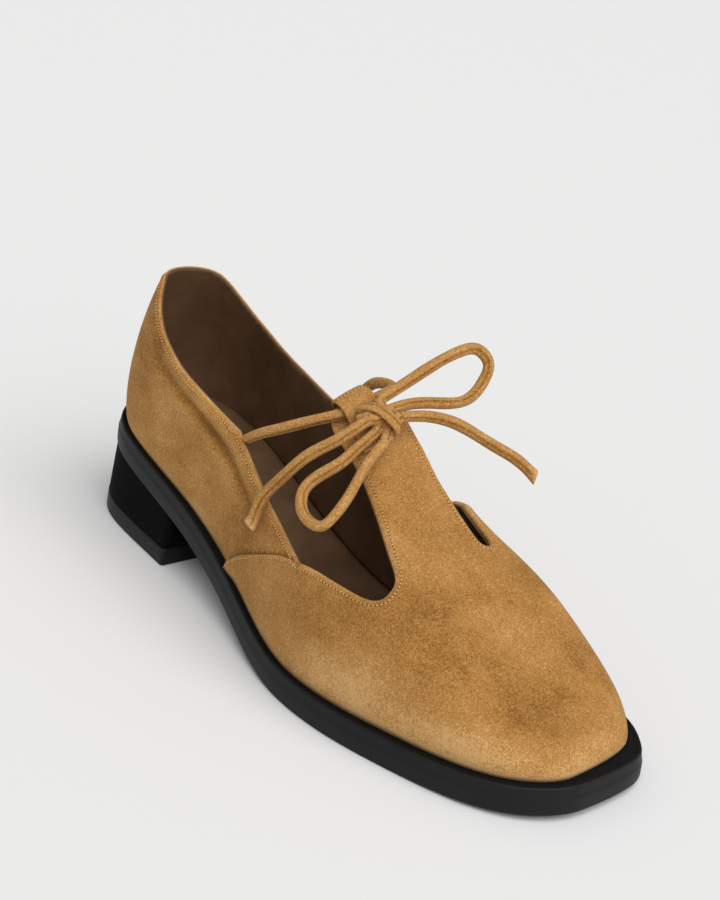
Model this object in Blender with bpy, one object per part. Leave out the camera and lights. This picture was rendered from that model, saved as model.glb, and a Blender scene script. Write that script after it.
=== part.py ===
"""A right t-strap shoe: a suede upper on a moulded sole with a low block heel, tied by a round lace.

The toe points along -Y, the wearer's right is -X (the outer side of the foot), and +Z is up.
The origin lies under the middle of the shoe's box, on the standing surface.
Lengths are in metres. The tables hold shares of the named sizes.
"""

import math

import bmesh
import bpy
import numpy as np
from mathutils import Vector
from mathutils.geometry import delaunay_2d_cdt

MM = 0.001

# Driving sizes
SOLE_LENGTH = 262 * MM
SOLE_BREADTH = 90 * MM
SOLE_THICKNESS = 9.9 * MM
SOLE_FLARE = 1.0 * MM
SOLE_BEVEL_DROP = 4.2 * MM
SOLE_BEVEL_FLARE = 0.7 * MM
SOLE_EDGE_ROUND = 0.7 * MM
TOE_SPRING = 2.4 * MM
TOE_SWING = 1.2 * MM
TREAD_START = 0.63
TREAD_END = 0.78
SEAT_HEIGHT = 31.3 * MM
BREAST_HEIGHT = 20.1 * MM
BREAST_FROM_BACK = 0.2508 * SOLE_LENGTH
HEEL_FLARE = 2.2 * MM
HEEL_CORNER = 6.0 * MM
TOP_PIECE_HEIGHT = 7.0 * MM
TOP_PIECE_LIP = 0.25 * MM
WELT_WIDTH = 4.6 * MM
INSTEP_RISE = 88 * MM
CREST_START = 0.0992 * SOLE_LENGTH
CREST_END = 0.9008 * SOLE_LENGTH
WALL = 2.0 * MM
VAMP_LAP = 0.9 * MM
LAP_RAMP = 0.5 * MM
INSOLE_THICKNESS = 3.0 * MM
INSOLE_CLEARANCE = 1.1 * MM
LACE_DIAMETER = 4.0 * MM
LACE_POINT_STEP = 1.5 * LACE_DIAMETER
TAB_WALL = 1.5 * MM
TAB_LENGTH = 19 * MM
GAP = 0.3 * MM

# Half breadths of the sole, measured from its middle line, as shares of SOLE_BREADTH
SOLE_STATIONS = (
    # along, outer side, inner side
    (0.000, 0.000, 0.000),
    (0.016, 0.167, 0.167),
    (0.062, 0.278, 0.278),
    (0.146, 0.323, 0.317),
    (0.287, 0.350, 0.278),
    (0.437, 0.413, 0.251),
    (0.578, 0.502, 0.303),
    (0.699, 0.504, 0.417),
    (0.806, 0.433, 0.492),
    (0.905, 0.336, 0.489),
    (0.965, 0.221, 0.390),
    (0.991, 0.111, 0.294),
    (1.000, 0.000, 0.000),
)

# How much of the sole's top shows around the upper, as shares of WELT_WIDTH
WELT_STATIONS = (
    # along, outer side, inner side
    (0.00, 0.40, 0.40),
    (0.10, 0.48, 0.48),
    (0.30, 0.62, 0.62),
    (0.45, 0.72, 0.72),
    (0.62, 0.76, 0.78),
    (0.78, 1.00, 0.95),
    (0.90, 1.05, 1.15),
    (1.00, 0.88, 0.88),
)

# The last: the crest line over the foot and the curve of each rib from the welt up to it.
# Rise is a share of INSTEP_RISE, crest and swells of SOLE_BREADTH, wall and drop of the rib's rise,
# and the crowns of the rib's own breadth.
LAST_STATIONS = (
    # along, rise, crest, wall, swell out, swell in, crown out, crown in, drop
    (0.00, 0.995, -0.003, 0.22, 0.044, 0.044, 0.735, 0.735, 0.155),
    (0.12, 1.010, 0.013, 0.32, 0.035, 0.033, 0.740, 0.775, 0.110),
    (0.25, 0.966, 0.042, 0.42, 0.024, 0.035, 0.660, 0.695, 0.030),
    (0.38, 0.888, 0.107, 0.52, 0.023, 0.053, 0.545, 0.610, 0.000),
    (0.50, 0.816, 0.188, 0.64, 0.023, 0.077, 0.505, 0.645, 0.000),
    (0.60, 0.704, 0.176, 0.76, 0.023, 0.080, 0.505, 0.740, 0.000),
    (0.70, 0.570, 0.126, 0.82, 0.022, 0.079, 0.505, 0.800, 0.000),
    (0.80, 0.475, 0.081, 0.74, 0.022, 0.063, 0.500, 0.760, 0.000),
    (0.90, 0.329, 0.046, 0.60, 0.019, 0.042, 0.495, 0.640, 0.000),
    (1.00, 0.181, 0.013, 0.44, 0.014, 0.014, 0.490, 0.490, 0.000),
)

# The opening's edge, drawn on the last. Along is a share of the length from the heel, and around
# runs from -1 at the outer welt over 0 at the crest to 1 at the inner welt.
TOPLINE_OUTER = (
    (0.000, -0.365), (0.024, -0.370), (0.043, -0.390), (0.067, -0.440), (0.098, -0.500),
    (0.128, -0.545), (0.158, -0.578), (0.190, -0.604), (0.230, -0.620), (0.290, -0.626),
    (0.350, -0.615),
)
FRONT_EDGE_OUTER = ((0.364, -0.628), (0.417, -0.665), (0.458, -0.685), (0.516, -0.697), (0.572, -0.710))
VAMP_EDGE_OUTER = ((0.578, -0.710), (0.605, -0.680), (0.644, -0.645), (0.680, -0.614), (0.705, -0.588))
SLOT_END_OUTER = ((0.722, -0.550), (0.7275, -0.490), (0.718, -0.415))
STRAP_OUTER = ((0.684, -0.368), (0.629, -0.326), (0.567, -0.313), (0.532, -0.319), (0.500, -0.325))
STRAP_TOP = ((0.484, -0.322), (0.466, -0.295), (0.463, -0.200), (0.474, -0.130), (0.490, -0.087), (0.506, -0.030))
STRAP_INNER = ((0.519, -0.010), (0.567, -0.005), (0.625, 0.045), (0.661, 0.085), (0.705, 0.102))
SLOT_END_INNER = ((0.726, 0.108), (0.734, 0.150), (0.715, 0.215))
VAMP_EDGE_INNER = ((0.690, 0.235), (0.659, 0.262), (0.630, 0.370), (0.605, 0.480), (0.583, 0.575))
FRONT_EDGE_INNER = ((0.576, 0.590), (0.516, 0.600), (0.458, 0.598), (0.417, 0.592), (0.368, 0.585))
TOPLINE_INNER = (
    (0.350, 0.572), (0.290, 0.590), (0.230, 0.596), (0.190, 0.586), (0.158, 0.566), (0.128, 0.540),
    (0.098, 0.500), (0.067, 0.440), (0.043, 0.390), (0.024, 0.370), (0.000, 0.365),
)
OPENING = (
    TOPLINE_OUTER, FRONT_EDGE_OUTER, VAMP_EDGE_OUTER + SLOT_END_OUTER + STRAP_OUTER, STRAP_TOP,
    STRAP_INNER + SLOT_END_INNER + VAMP_EDGE_INNER, FRONT_EDGE_INNER, TOPLINE_INNER,
)

# Where the vamp's wing laps over the quarter, from the welt up to the opening
SEAM_OUTER = ((0.404, -1.0), (0.418, -0.955), (0.442, -0.903), (0.494, -0.820), (0.541, -0.750), (0.578, -0.710))
SEAM_INNER = ((0.404, 1.0), (0.418, 0.955), (0.442, 0.900), (0.494, 0.795), (0.541, 0.690), (0.583, 0.582))

# The lace tab's middle line down the strap, seen from its side: how far down from the strap's top
# edge as a share of TAB_LENGTH, and how far over the last as a share of LACE_DIAMETER
TAB_PROFILE = (
    # down, over
    (-0.055, -0.40),
    (-0.068, 0.15),
    (-0.032, 0.80),
    (0.084, 1.43),
    (0.253, 1.66),
    (0.432, 1.46),
    (0.589, 0.92),
    (0.716, 0.55),
    (0.850, 0.52),
    (1.000, 0.52),
)
TAB_SPAN = (-0.265, -0.125)
TAB_FOLD_ALONG = 0.460

# The lace between the quarters' corners, through the tab: places on the last and how far over it,
# as a share of LACE_DIAMETER
LACE_BAR_ROUTE = (
    # along, around, over
    (0.3700, -0.612, -0.20),
    (0.3990, -0.544, 0.50),
    (0.4270, -0.475, 0.75),
    (0.4620, -0.356, 0.82),
    (0.4850, -0.225, 0.84),
    (0.4850, -0.150, 0.84),
    (0.4780, -0.070, 0.88),
    (0.4600, 0.030, 0.90),
    (0.4320, 0.200, 0.80),
    (0.4020, 0.380, 0.60),
    (0.3740, 0.570, -0.20),
)

# The knot's middle as a place on the last and its height over it, as a share of LACE_DIAMETER
KNOT_PLACE = (0.5268, -0.1710, 2.374)

# The tied lace's routes from the knot's middle outwards, as shares of LACE_DIAMETER
LACE_LOOP_INNER = (
    (0.62, 1.42, 0.95), (2.12, 1.65, 1.40), (3.75, 1.90, 1.90), (5.38, 2.15, 2.40), (8.00, 2.40, 3.27),
    (10.50, 2.27, 4.02), (12.00, 2.02, 3.90), (12.62, 1.15, 2.90), (12.12, 0.77, 1.65), (10.62, 0.27, 0.52),
    (9.12, 0.40, -0.10), (6.25, 1.02, 0.02), (3.62, 1.02, 0.27), (1.30, 0.62, 0.27),
)
LACE_END_INNER = (
    (1.60, -0.50, 0.02), (3.12, -0.60, -0.10), (4.62, -0.98, -0.23), (6.62, -1.85, -0.73),
    (8.50, -2.98, -1.73), (10.12, -4.35, -2.73), (11.50, -5.72, -3.60), (12.62, -7.10, -4.85),
)
LACE_END_OUTER = (
    (-1.57, -0.15, 0.12), (-2.88, 0.02, -0.60), (-4.12, 0.52, -1.60), (-6.00, 1.90, -3.35),
    (-7.25, 3.02, -5.35), (-8.00, 4.15, -7.23), (-8.50, 4.65, -8.60), (-8.88, 4.65, -9.98),
)
LACE_LOOP_OUTER = (
    (-0.85, -0.48, -1.05), (-2.88, -0.48, -2.35), (-4.38, -0.48, -3.35), (-5.88, 0.15, -4.48),
    (-7.12, 0.40, -5.60), (-7.88, -0.23, -6.35), (-8.50, -1.73, -6.98), (-8.25, -3.60, -7.10),
    (-7.38, -3.98, -6.35), (-5.38, -3.48, -4.73), (-3.25, -2.48, -2.98), (-0.68, -1.60, -1.45),
)
KNOT_WRAP = (
    (-1.25, 2.02, 0.55), (-0.62, 1.40, 1.05), (0.25, 0.52, 1.10), (1.00, -0.48, 0.45), (0.88, -1.23, -0.35),
    (0.25, -1.60, -0.85),
)
KNOT_SIZE = (2.65, 2.30, 1.95)

# Mesh fineness
RIBS = 50
LEVELS = 13
EDGE_STEP = 4.0 * MM
SOLE_ROWS = 56
SOLE_COLUMNS = 4
INSOLE_ROWS = 36
TAB_STATIONS = 7
TAB_PROFILE_POINTS = 22


def natural_spline(knots, values, at):
    """Values at given places on the smooth curve through a table's rows."""
    k, v = np.asarray(knots, float), np.asarray(values, float)
    n, h = len(k), np.diff(np.asarray(knots, float))
    rows, right = np.eye(n), np.zeros(n)
    for i in range(1, n - 1):
        rows[i, i - 1:i + 2] = h[i - 1], 2 * (h[i - 1] + h[i]), h[i]
        right[i] = 6 * ((v[i + 1] - v[i]) / h[i] - (v[i] - v[i - 1]) / h[i - 1])
    m = np.linalg.solve(rows, right)
    x = np.clip(np.asarray(at, float), k[0], k[-1])
    j = np.clip(np.searchsorted(k, x, side="right") - 1, 0, n - 2)
    a, b, step = x - k[j], k[j + 1] - x, h[j]
    curved = (m[j] * b**3 + m[j + 1] * a**3) / (6 * step)
    return curved + (v[j] / step - m[j] * step / 6) * b + (v[j + 1] / step - m[j + 1] * step / 6) * a


def turn_at(along):
    """The place around the sole, 0 at the back of the heel and 1 at the toe, for a share of the length."""
    return np.arccos(1 - 2 * np.clip(along, 0, 1)) / math.pi


def along_at(turn):
    return (1 - np.cos(math.pi * np.asarray(turn, float))) / 2


def side_column(side):
    return 1 if side < 0 else 2


def sole_edge(turn, side, inset=0.0):
    """Points on the sole's outline, moved inwards by inset, and the inward directions there."""
    table = np.array(SOLE_STATIONS)
    knots, half = turn_at(table[:, 0]), table[:, side_column(side)] * SOLE_BREADTH

    def outline(t):
        folded = np.where(t > 1, 2 - t, np.abs(t))
        sign = np.where((t > 1) | (t < 0), -1, 1)
        along = along_at(folded)
        swing = TOE_SWING * np.clip((along - 0.6) / 0.4, 0, 1)**2
        across = side * sign * natural_spline(knots, half, folded) + swing
        return np.stack([across, SOLE_LENGTH * (0.5 - along)], axis=-1)

    turn, reach = np.asarray(turn, float), 1e-4
    tangent = outline(turn + reach) - outline(turn - reach)
    tangent /= np.linalg.norm(tangent, axis=-1)[..., None]
    inward = -side * np.stack([-tangent[..., 1], tangent[..., 0]], axis=-1)
    return outline(turn) + inward * np.asarray(inset)[..., None], inward


def welt(turn, side):
    table = np.array(WELT_STATIONS)
    return natural_spline(turn_at(table[:, 0]), table[:, side_column(side)] * WELT_WIDTH, turn)


def sole_underside(from_back):
    """Height of the sole's underside: heel seat, shank, flat tread and toe spring."""
    s = np.asarray(from_back, float)
    seat = SEAT_HEIGHT + (BREAST_HEIGHT - SEAT_HEIGHT) * np.clip(s / BREAST_FROM_BACK, 0, 1)
    shank = TREAD_START * SOLE_LENGTH - BREAST_FROM_BACK
    k = np.clip((s - BREAST_FROM_BACK) / shank, 0, 1)
    slope = (BREAST_HEIGHT - SEAT_HEIGHT) / BREAST_FROM_BACK * shank
    fall = BREAST_HEIGHT * (2 * k**3 - 3 * k**2 + 1) + slope * (k**3 - 2 * k**2 + k)
    spring = TOE_SPRING * np.clip((s / SOLE_LENGTH - TREAD_END) / (1 - TREAD_END), 0, None)**2
    return np.where(s < BREAST_FROM_BACK, seat, np.where(k < 1, fall, 0.0)) + spring


def sole_top(from_back):
    return sole_underside(from_back) + SOLE_THICKNESS


def from_back(points):
    return SOLE_LENGTH / 2 - np.asarray(points)[..., 1]


def last_points(turn, around):
    """Points on the last's surface. Around is -1 or 1 at the welt and 0 on the crest."""
    turn, around = np.broadcast_arrays(np.asarray(turn, float), np.asarray(around, float))
    outer = rib_points(turn, 1 - np.abs(around), -1)
    inner = rib_points(turn, 1 - np.abs(around), 1)
    return np.where((around < 0)[..., None], outer, inner)


def rib_ends(turn, side):
    """The welt end and the crest end of ribs, and the crest's slope there."""
    table = np.array(LAST_STATIONS)
    along = along_at(turn)
    foot, inward = sole_edge(turn, side, welt(turn, side))
    foot = np.concatenate([foot, (sole_top(from_back(foot)) + GAP)[..., None]], axis=-1)
    span = CREST_END - CREST_START
    reach = 1e-3
    low, high = np.clip(along - reach, 0, 1), np.clip(along + reach, 0, 1)

    def height(share):
        rise = natural_spline(table[:, 0], table[:, 1] * INSTEP_RISE, share)
        return sole_top(CREST_START + span * share) + rise

    crest_x = natural_spline(table[:, 0], table[:, 2] * SOLE_BREADTH, along)
    crest_y = SOLE_LENGTH / 2 - CREST_START - span * along
    crest = np.stack([crest_x, crest_y, height(along)], axis=-1)
    slope = (height(high) - height(low)) / (span * (high - low))
    return foot, inward, crest, slope


def rib_points(turn, up, side):
    """Points on ribs of one side, where up is 0 at the welt and 1 at the crest."""
    table = np.array(LAST_STATIONS)
    along = along_at(turn)

    def column(index):
        return natural_spline(table[:, 0], table[:, index], along)

    foot, inward, crest, slope = rib_ends(turn, side)
    swell = column(4 if side < 0 else 5) * SOLE_BREADTH
    crown = column(6 if side < 0 else 7)
    rise = crest[..., 2] - foot[..., 2]
    reach = crest[..., :2] - foot[..., :2]
    wall_end = foot + np.concatenate([-inward * swell[..., None], (column(3) * rise)[..., None]], axis=-1)
    level = -reach * crown[..., None]
    crown_drop = slope * reach[..., 1] * crown - column(8) * rise
    crown_end = crest + np.concatenate([level, crown_drop[..., None]], axis=-1)
    u = np.asarray(up, float)[..., None]
    return (1 - u)**3 * foot + 3 * (1 - u)**2 * u * wall_end + 3 * (1 - u) * u**2 * crown_end + u**3 * crest


def last_normals(turn, around):
    """Outward directions of the last's surface."""
    turn, around = np.broadcast_arrays(np.asarray(turn, float), np.asarray(around, float))
    reach = 2e-3
    side = np.where(around < 0, -1.0, 1.0)
    t_low, t_high = np.clip(turn - reach, 0, 1), np.clip(turn + reach, 0, 1)
    a = np.abs(around)
    a_low, a_high = np.clip(a - reach, 0, 1), np.clip(a + reach, 0, 1)
    sided = np.where(side < 0, -1e-12, 1e-12)
    lengthwise = last_points(t_high, side * a + sided) - last_points(t_low, side * a + sided)
    crosswise = last_points(turn, side * a_high + sided) - last_points(turn, side * a_low + sided)
    normal = np.cross(lengthwise, crosswise) * side[..., None]
    return normal / np.linalg.norm(normal, axis=-1)[..., None]


def smooth_line(points, count):
    """A smooth open curve through points, as evenly spaced points along it."""
    points = np.asarray(points, float)
    chord = np.concatenate([[0], np.cumsum(np.sqrt(np.linalg.norm(np.diff(points, axis=0), axis=1)))])
    fine = np.linspace(0, chord[-1], 40 * len(points))
    curve = np.stack([natural_spline(chord, c, fine) for c in points.T], axis=-1)
    length = np.concatenate([[0], np.cumsum(np.linalg.norm(np.diff(curve, axis=0), axis=1))])
    even = np.linspace(0, length[-1], count)
    return np.stack([np.interp(even, length, c) for c in curve.T], axis=-1)


def on_last(rows):
    """A table's rows as places on the last: turn and around."""
    rows = np.array(rows)
    return np.column_stack([turn_at(rows[:, 0]), rows[:, 1]])


def real_length(places):
    return np.linalg.norm(np.diff(last_points(places[:, 0], places[:, 1]), axis=0), axis=1).sum()


def edge_line(rows, step):
    """An edge on the last in steps of about the given length."""
    rough = smooth_line(on_last(rows), 40)
    return smooth_line(on_last(rows), max(3, round(real_length(rough) / step) + 1))


def opening_line(step):
    """The opening's whole closed edge, with its corners a little rounded, on the last."""
    lines = [edge_line(rows, step) for rows in OPENING]
    lines[-1] = lines[-1][:-1]
    return np.concatenate(lines)


def flat_layout(turn, around):
    """Each rib laid out flat from the crest, so that the upper can be cut like a pattern."""
    turn, around = np.broadcast_arrays(np.asarray(turn, float), np.asarray(around, float))
    side = np.where(around < 0, -1, 1)
    flat = np.zeros(turn.shape + (2,))
    for s in (-1, 1):
        foot, _, crest, _ = rib_ends(turn, s)
        out = foot[..., :2] - crest[..., :2]
        out /= np.linalg.norm(out, axis=-1)[..., None]
        ups = np.linspace(0, 1, 9)
        rib = np.stack([rib_points(turn, np.full(turn.shape, u), s) for u in ups])
        length = np.linalg.norm(np.diff(rib, axis=0), axis=-1).sum(axis=0)
        here = crest[..., :2] + out * (length * np.abs(around))[..., None]
        flat = np.where((side == s)[..., None], here, flat)
    return flat


def make_material(name, colour, roughness):
    material = bpy.data.materials.new(name)
    material.use_nodes = True
    shader = material.node_tree.nodes["Principled BSDF"]
    shader.inputs["Base Color"].default_value = (*colour, 1)
    shader.inputs["Roughness"].default_value = roughness
    shader.inputs["Metallic"].default_value = 0.0
    return material


def add_mesh(name, points, faces, material, sharp=35):
    """One closed body with its faces pointing out, shaded smooth up to the sharp angle."""
    mesh = bpy.data.meshes.new(name)
    mesh.from_pydata([tuple(p) for p in np.asarray(points)], [], [tuple(map(int, f)) for f in faces])
    work = bmesh.new()
    work.from_mesh(mesh)
    bmesh.ops.remove_doubles(work, verts=work.verts, dist=0.01 * MM)
    bmesh.ops.recalc_face_normals(work, faces=work.faces)
    if work.calc_volume(signed=True) < 0:
        bmesh.ops.reverse_faces(work, faces=work.faces)
    work.to_mesh(mesh)
    work.free()
    mesh.shade_smooth()
    mesh.set_sharp_from_angle(angle=math.radians(sharp))
    thing = bpy.data.objects.new(name, mesh)
    thing.data.materials.append(material)
    bpy.context.collection.objects.link(thing)
    return thing


def bridge(lower, upper):
    """Quads between two closed rings of vertex numbers of equal length."""
    n = len(lower)
    return [(lower[i], lower[(i + 1) % n], upper[(i + 1) % n], upper[i]) for i in range(n)]


def sheet_rows(turns, inset, height):
    """Points in rows across the sole. The inset is one value, or one for each side."""
    outer_inset, inner_inset = inset if isinstance(inset, tuple) else (inset, inset)
    outer, _ = sole_edge(turns, -1, outer_inset)
    inner, _ = sole_edge(turns, 1, inner_inset)
    share = np.linspace(0, 1, SOLE_COLUMNS + 1)[None, :, None]
    rows = outer[:, None] * (1 - share) + inner[:, None] * share
    return np.concatenate([rows, height(from_back(rows))[..., None]], axis=-1)


def slab(turns, rings):
    """A solid of the sole's form from its top ring down. Each ring is an inset and a height function."""
    rows, width = len(turns), SOLE_COLUMNS + 1
    sheets = [sheet_rows(turns, *ring).reshape(-1, 3) for ring in rings]
    top = np.arange(rows * width).reshape(rows, width)
    low = top + rows * width
    faces = []
    for i in range(rows - 1):
        for j in range(SOLE_COLUMNS):
            faces.append((top[i, j], top[i, j + 1], top[i + 1, j + 1], top[i + 1, j]))
            faces.append((low[i, j], low[i + 1, j], low[i + 1, j + 1], low[i, j + 1]))
    rim = np.concatenate([top[:, 0], top[-1, 1:], top[-2::-1, -1], top[0, -2:0:-1]])
    points, rims = [sheets[0], sheets[-1]], [rim]
    for k, sheet in enumerate(sheets[1:-1]):
        points.append(sheet[rim])
        rims.append(2 * top.size + k * len(rim) + np.arange(len(rim)))
    rims.append(rim + top.size)
    for a, b in zip(rims, rims[1:]):
        faces += bridge(a, b)
    return np.concatenate(points), faces


def even_turns(count):
    """Places around the sole, evenly spaced along its edge from the heel's back to the toe's tip."""
    fine = np.linspace(0, 1, 400)
    steps = [np.linalg.norm(np.diff(sole_edge(fine, side)[0], axis=0), axis=1) for side in (-1, 1)]
    length = np.concatenate([[0], np.cumsum(steps[0] + steps[1])])
    return np.interp(np.linspace(0, length[-1], count), length, fine)


def sole_turns(rows):
    """The same places, but starting a hair off the heel's back and ending a hair off the toe's tip."""
    turns = even_turns(rows)
    turns[[0, -1]] = 0.004, 0.996
    return turns


def make_outsole(material):
    rings = [
        (SOLE_EDGE_ROUND, sole_top),
        (0.0, lambda s: sole_top(s) - SOLE_EDGE_ROUND),
        (-SOLE_BEVEL_FLARE, lambda s: sole_top(s) - SOLE_BEVEL_DROP),
        (-SOLE_FLARE, lambda s: sole_underside(s) + SOLE_EDGE_ROUND),
        (SOLE_EDGE_ROUND - SOLE_FLARE, sole_underside),
    ]
    points, faces = slab(sole_turns(SOLE_ROWS), rings)
    return add_mesh("outsole", points, faces, material)


def heel_ring(inset, height):
    """The heel's outline with its straight breast and rounded corners, as one ring of points."""
    breast_turn = turn_at((BREAST_FROM_BACK - HEEL_CORNER) / SOLE_LENGTH)
    turns = np.linspace(0.0, float(breast_turn), 15)
    outer, _ = sole_edge(turns, -1, inset)
    inner, _ = sole_edge(turns, 1, inset)
    front = SOLE_LENGTH / 2 - BREAST_FROM_BACK
    corners = []
    for side, end in ((-1, outer[-1]), (1, inner[-1])):
        angles = np.radians(np.linspace(22.5, 90, 4))
        x = end[0] - side * HEEL_CORNER * (1 - np.cos(angles))
        y = end[1] - (end[1] - front) * np.sin(angles)
        corners.append(np.column_stack([x, y]))
    ring = np.concatenate([outer, corners[0], corners[1][::-1], inner[:0:-1]])
    return np.column_stack([ring, height(from_back(ring))])


def make_heel(heel_material, piece_material):
    inset_top, inset_bottom = 0.5 * MM - SOLE_FLARE, -SOLE_FLARE - HEEL_FLARE
    seam = TOP_PIECE_HEIGHT / SEAT_HEIGHT
    inset_seam = inset_bottom + (inset_top - inset_bottom) * seam

    def stack(name, levels, material):
        rings = [heel_ring(inset, height) for inset, height in levels]
        n = len(rings[0])
        points = np.concatenate(rings)
        faces = [tuple(range(n)), tuple(range(len(points) - 1, len(points) - n - 1, -1))]
        for k in range(len(rings) - 1):
            faces += bridge(range(k * n, (k + 1) * n), range((k + 1) * n, (k + 2) * n))
        thing = add_mesh(name, points, faces, material)
        work = bmesh.new()
        work.from_mesh(thing.data)
        bmesh.ops.triangulate(work, faces=[f for f in work.faces if len(f.verts) > 4])
        work.to_mesh(thing.data)
        work.free()
        return thing

    def level(z):
        return lambda s: np.full(np.shape(s), z)

    stack("heel", (
        (inset_top, lambda s: sole_underside(s) - GAP),
        (inset_seam, level(TOP_PIECE_HEIGHT + GAP)),
    ), heel_material)
    lip = inset_seam - TOP_PIECE_LIP
    stack("top_piece", (
        (lip + 0.4 * MM, level(TOP_PIECE_HEIGHT)),
        (lip, level(TOP_PIECE_HEIGHT - 0.5 * MM)),
        (inset_bottom, level(0.6 * MM)),
        (inset_bottom + 0.6 * MM, level(0.0)),
    ), piece_material)


def make_insole(material):
    turns = sole_turns(INSOLE_ROWS)
    inside = tuple(welt(turns, side) + WALL + INSOLE_CLEARANCE for side in (-1, 1))
    rings = [
        (inside, lambda s: sole_top(s) + GAP + INSOLE_THICKNESS),
        (inside, lambda s: sole_top(s) + GAP),
    ]
    points, faces = slab(turns, rings)
    return add_mesh("insole", points, faces, material)


def inside_polygon(points, polygon):
    """Whether each flat point lies in a closed flat outline."""
    x, y = points[:, 0], points[:, 1]
    within = np.zeros(len(points), bool)
    for (x0, y0), (x1, y1) in zip(polygon, np.roll(polygon, -1, axis=0)):
        if y0 == y1:
            continue
        crosses = (y0 > y) != (y1 > y)
        within ^= crosses & (x < x0 + (x1 - x0) * (y - y0) / (y1 - y0))
    return within


def distance_to_line(points, line):
    """Shortest flat distance from each point to a chain of points."""
    best = np.full(len(points), np.inf)
    for a, b in zip(line[:-1], line[1:]):
        run = b - a
        share = np.clip(((points - a) @ run) / max(run @ run, 1e-12), 0, 1)
        best = np.minimum(best, np.linalg.norm(points - a - share[:, None] * run, axis=1))
    return best


def pattern_lines():
    """The lines that the upper is cut along: its lower edge, its opening and a pair at each seam."""
    turns = even_turns(RIBS)
    outer_edge = np.column_stack([turns, np.full(RIBS, -1.0)])
    inner_edge = np.column_stack([turns[-2:0:-1], np.full(RIBS - 2, 1.0)])
    seams = []
    for rows in (SEAM_OUTER, SEAM_INNER):
        line = edge_line(rows, EDGE_STEP)
        seams.append((line, line + (LAP_RAMP / SOLE_LENGTH, 0)))
    return np.concatenate([outer_edge, inner_edge]), opening_line(EDGE_STEP), seams


def pattern_grid(lines):
    """Places on the last's ribs that keep clear of the pattern's lines and of its opening."""
    arounds = np.linspace(-1, 1, 2 * LEVELS + 1)[1:-1]
    grid = np.array([(turn, around) for turn in even_turns(RIBS) for around in arounds
                     if around <= 0 or turn not in (0.0, 1.0)])
    flat = flat_layout(*grid.T)
    clear = ~inside_polygon(flat, flat_layout(*lines[1].T))
    for line in lines:
        clear &= distance_to_line(flat, flat_layout(*line.T)) > 0.45 * EDGE_STEP
    return grid[clear]


def cut_pattern(lower_edge, opening, seams):
    """The upper's places on the last, its lower edge first, and the triangles between them."""
    closed = [np.vstack([line, line[:1]]) for line in (lower_edge, opening)]
    seam_lines = [line for pair in seams for line in pair]
    grid = pattern_grid(closed + seam_lines)
    chains, edges, count = [lower_edge, opening], [], 0
    for chain in chains:
        n = len(chain)
        edges += [(count + i, count + (i + 1) % n) for i in range(n)]
        count += n
    for line in seam_lines:
        n = len(line) - 2
        chains.append(line[1:-1])
        edges += [(count + i, count + i + 1) for i in range(n - 1)]
        count += n
    places = np.concatenate(chains + [grid])
    flat = flat_layout(*places.T)
    result = delaunay_2d_cdt([Vector(p) for p in flat / MM], edges, [], 0, 1e-6)
    if len(result[0]) != len(places):
        raise ValueError("the pattern's lines cross")
    triangles = np.array(result[2])
    kept = np.array([source[0] for source in result[3]])
    triangles = kept[triangles]
    centres = flat[triangles].mean(axis=1)
    good = inside_polygon(centres, flat[:len(lower_edge)])
    good &= ~inside_polygon(centres, flat_layout(*opening.T))
    return places, triangles[good]


def make_upper(material):
    """A wall of even thickness: an outer sheet with the vamp's lap, an inner one, and their edges."""
    lower_edge, opening, seams = pattern_lines()
    places, triangles = cut_pattern(lower_edge, opening, seams)
    surface, outward = last_points(*places.T), last_normals(*places.T)
    outer = surface + outward * vamp_lap(places, seams)[:, None]
    inner = surface - outward * WALL
    for sheet in (outer, inner):
        rim = sheet[:len(lower_edge)]
        rim[:, 2] = sole_top(from_back(rim)) + GAP
    n = len(places)
    faces = [tuple(f) for f in triangles] + [tuple(f[::-1] + n) for f in triangles]
    directed = {(a, b) for f in triangles for a, b in zip(f, np.roll(f, -1))}
    faces += [(b, a, a + n, b + n) for a, b in directed if (b, a) not in directed]
    return add_mesh("upper", np.concatenate([outer, inner]), faces, material, sharp=50)


def vamp_lap(places, seams):
    """How far the vamp stands over the quarter at each place: not at all behind the seams."""
    lap = np.full(len(places), VAMP_LAP)
    for (line, _), side in zip(seams, (-1, 1)):
        around = np.abs(line[:, 1])[::-1]
        limit = np.interp(np.abs(places[:, 1]), around, line[::-1, 0], left=line[-1, 0], right=line[0, 0])
        behind = (places[:, 0] <= limit + 1e-6) & (np.sign(places[:, 1]) == side)
        below = np.abs(places[:, 1]) >= around[0] - 0.02
        lap[behind & (below | (places[:, 0] < line[0, 0]))] = 0.0
    return lap


def over_last(along, around, over):
    """A point at a height over the last's surface."""
    turn = turn_at(along)
    return last_points(turn, around) + last_normals(turn, around) * np.asarray(over)[..., None]


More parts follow.
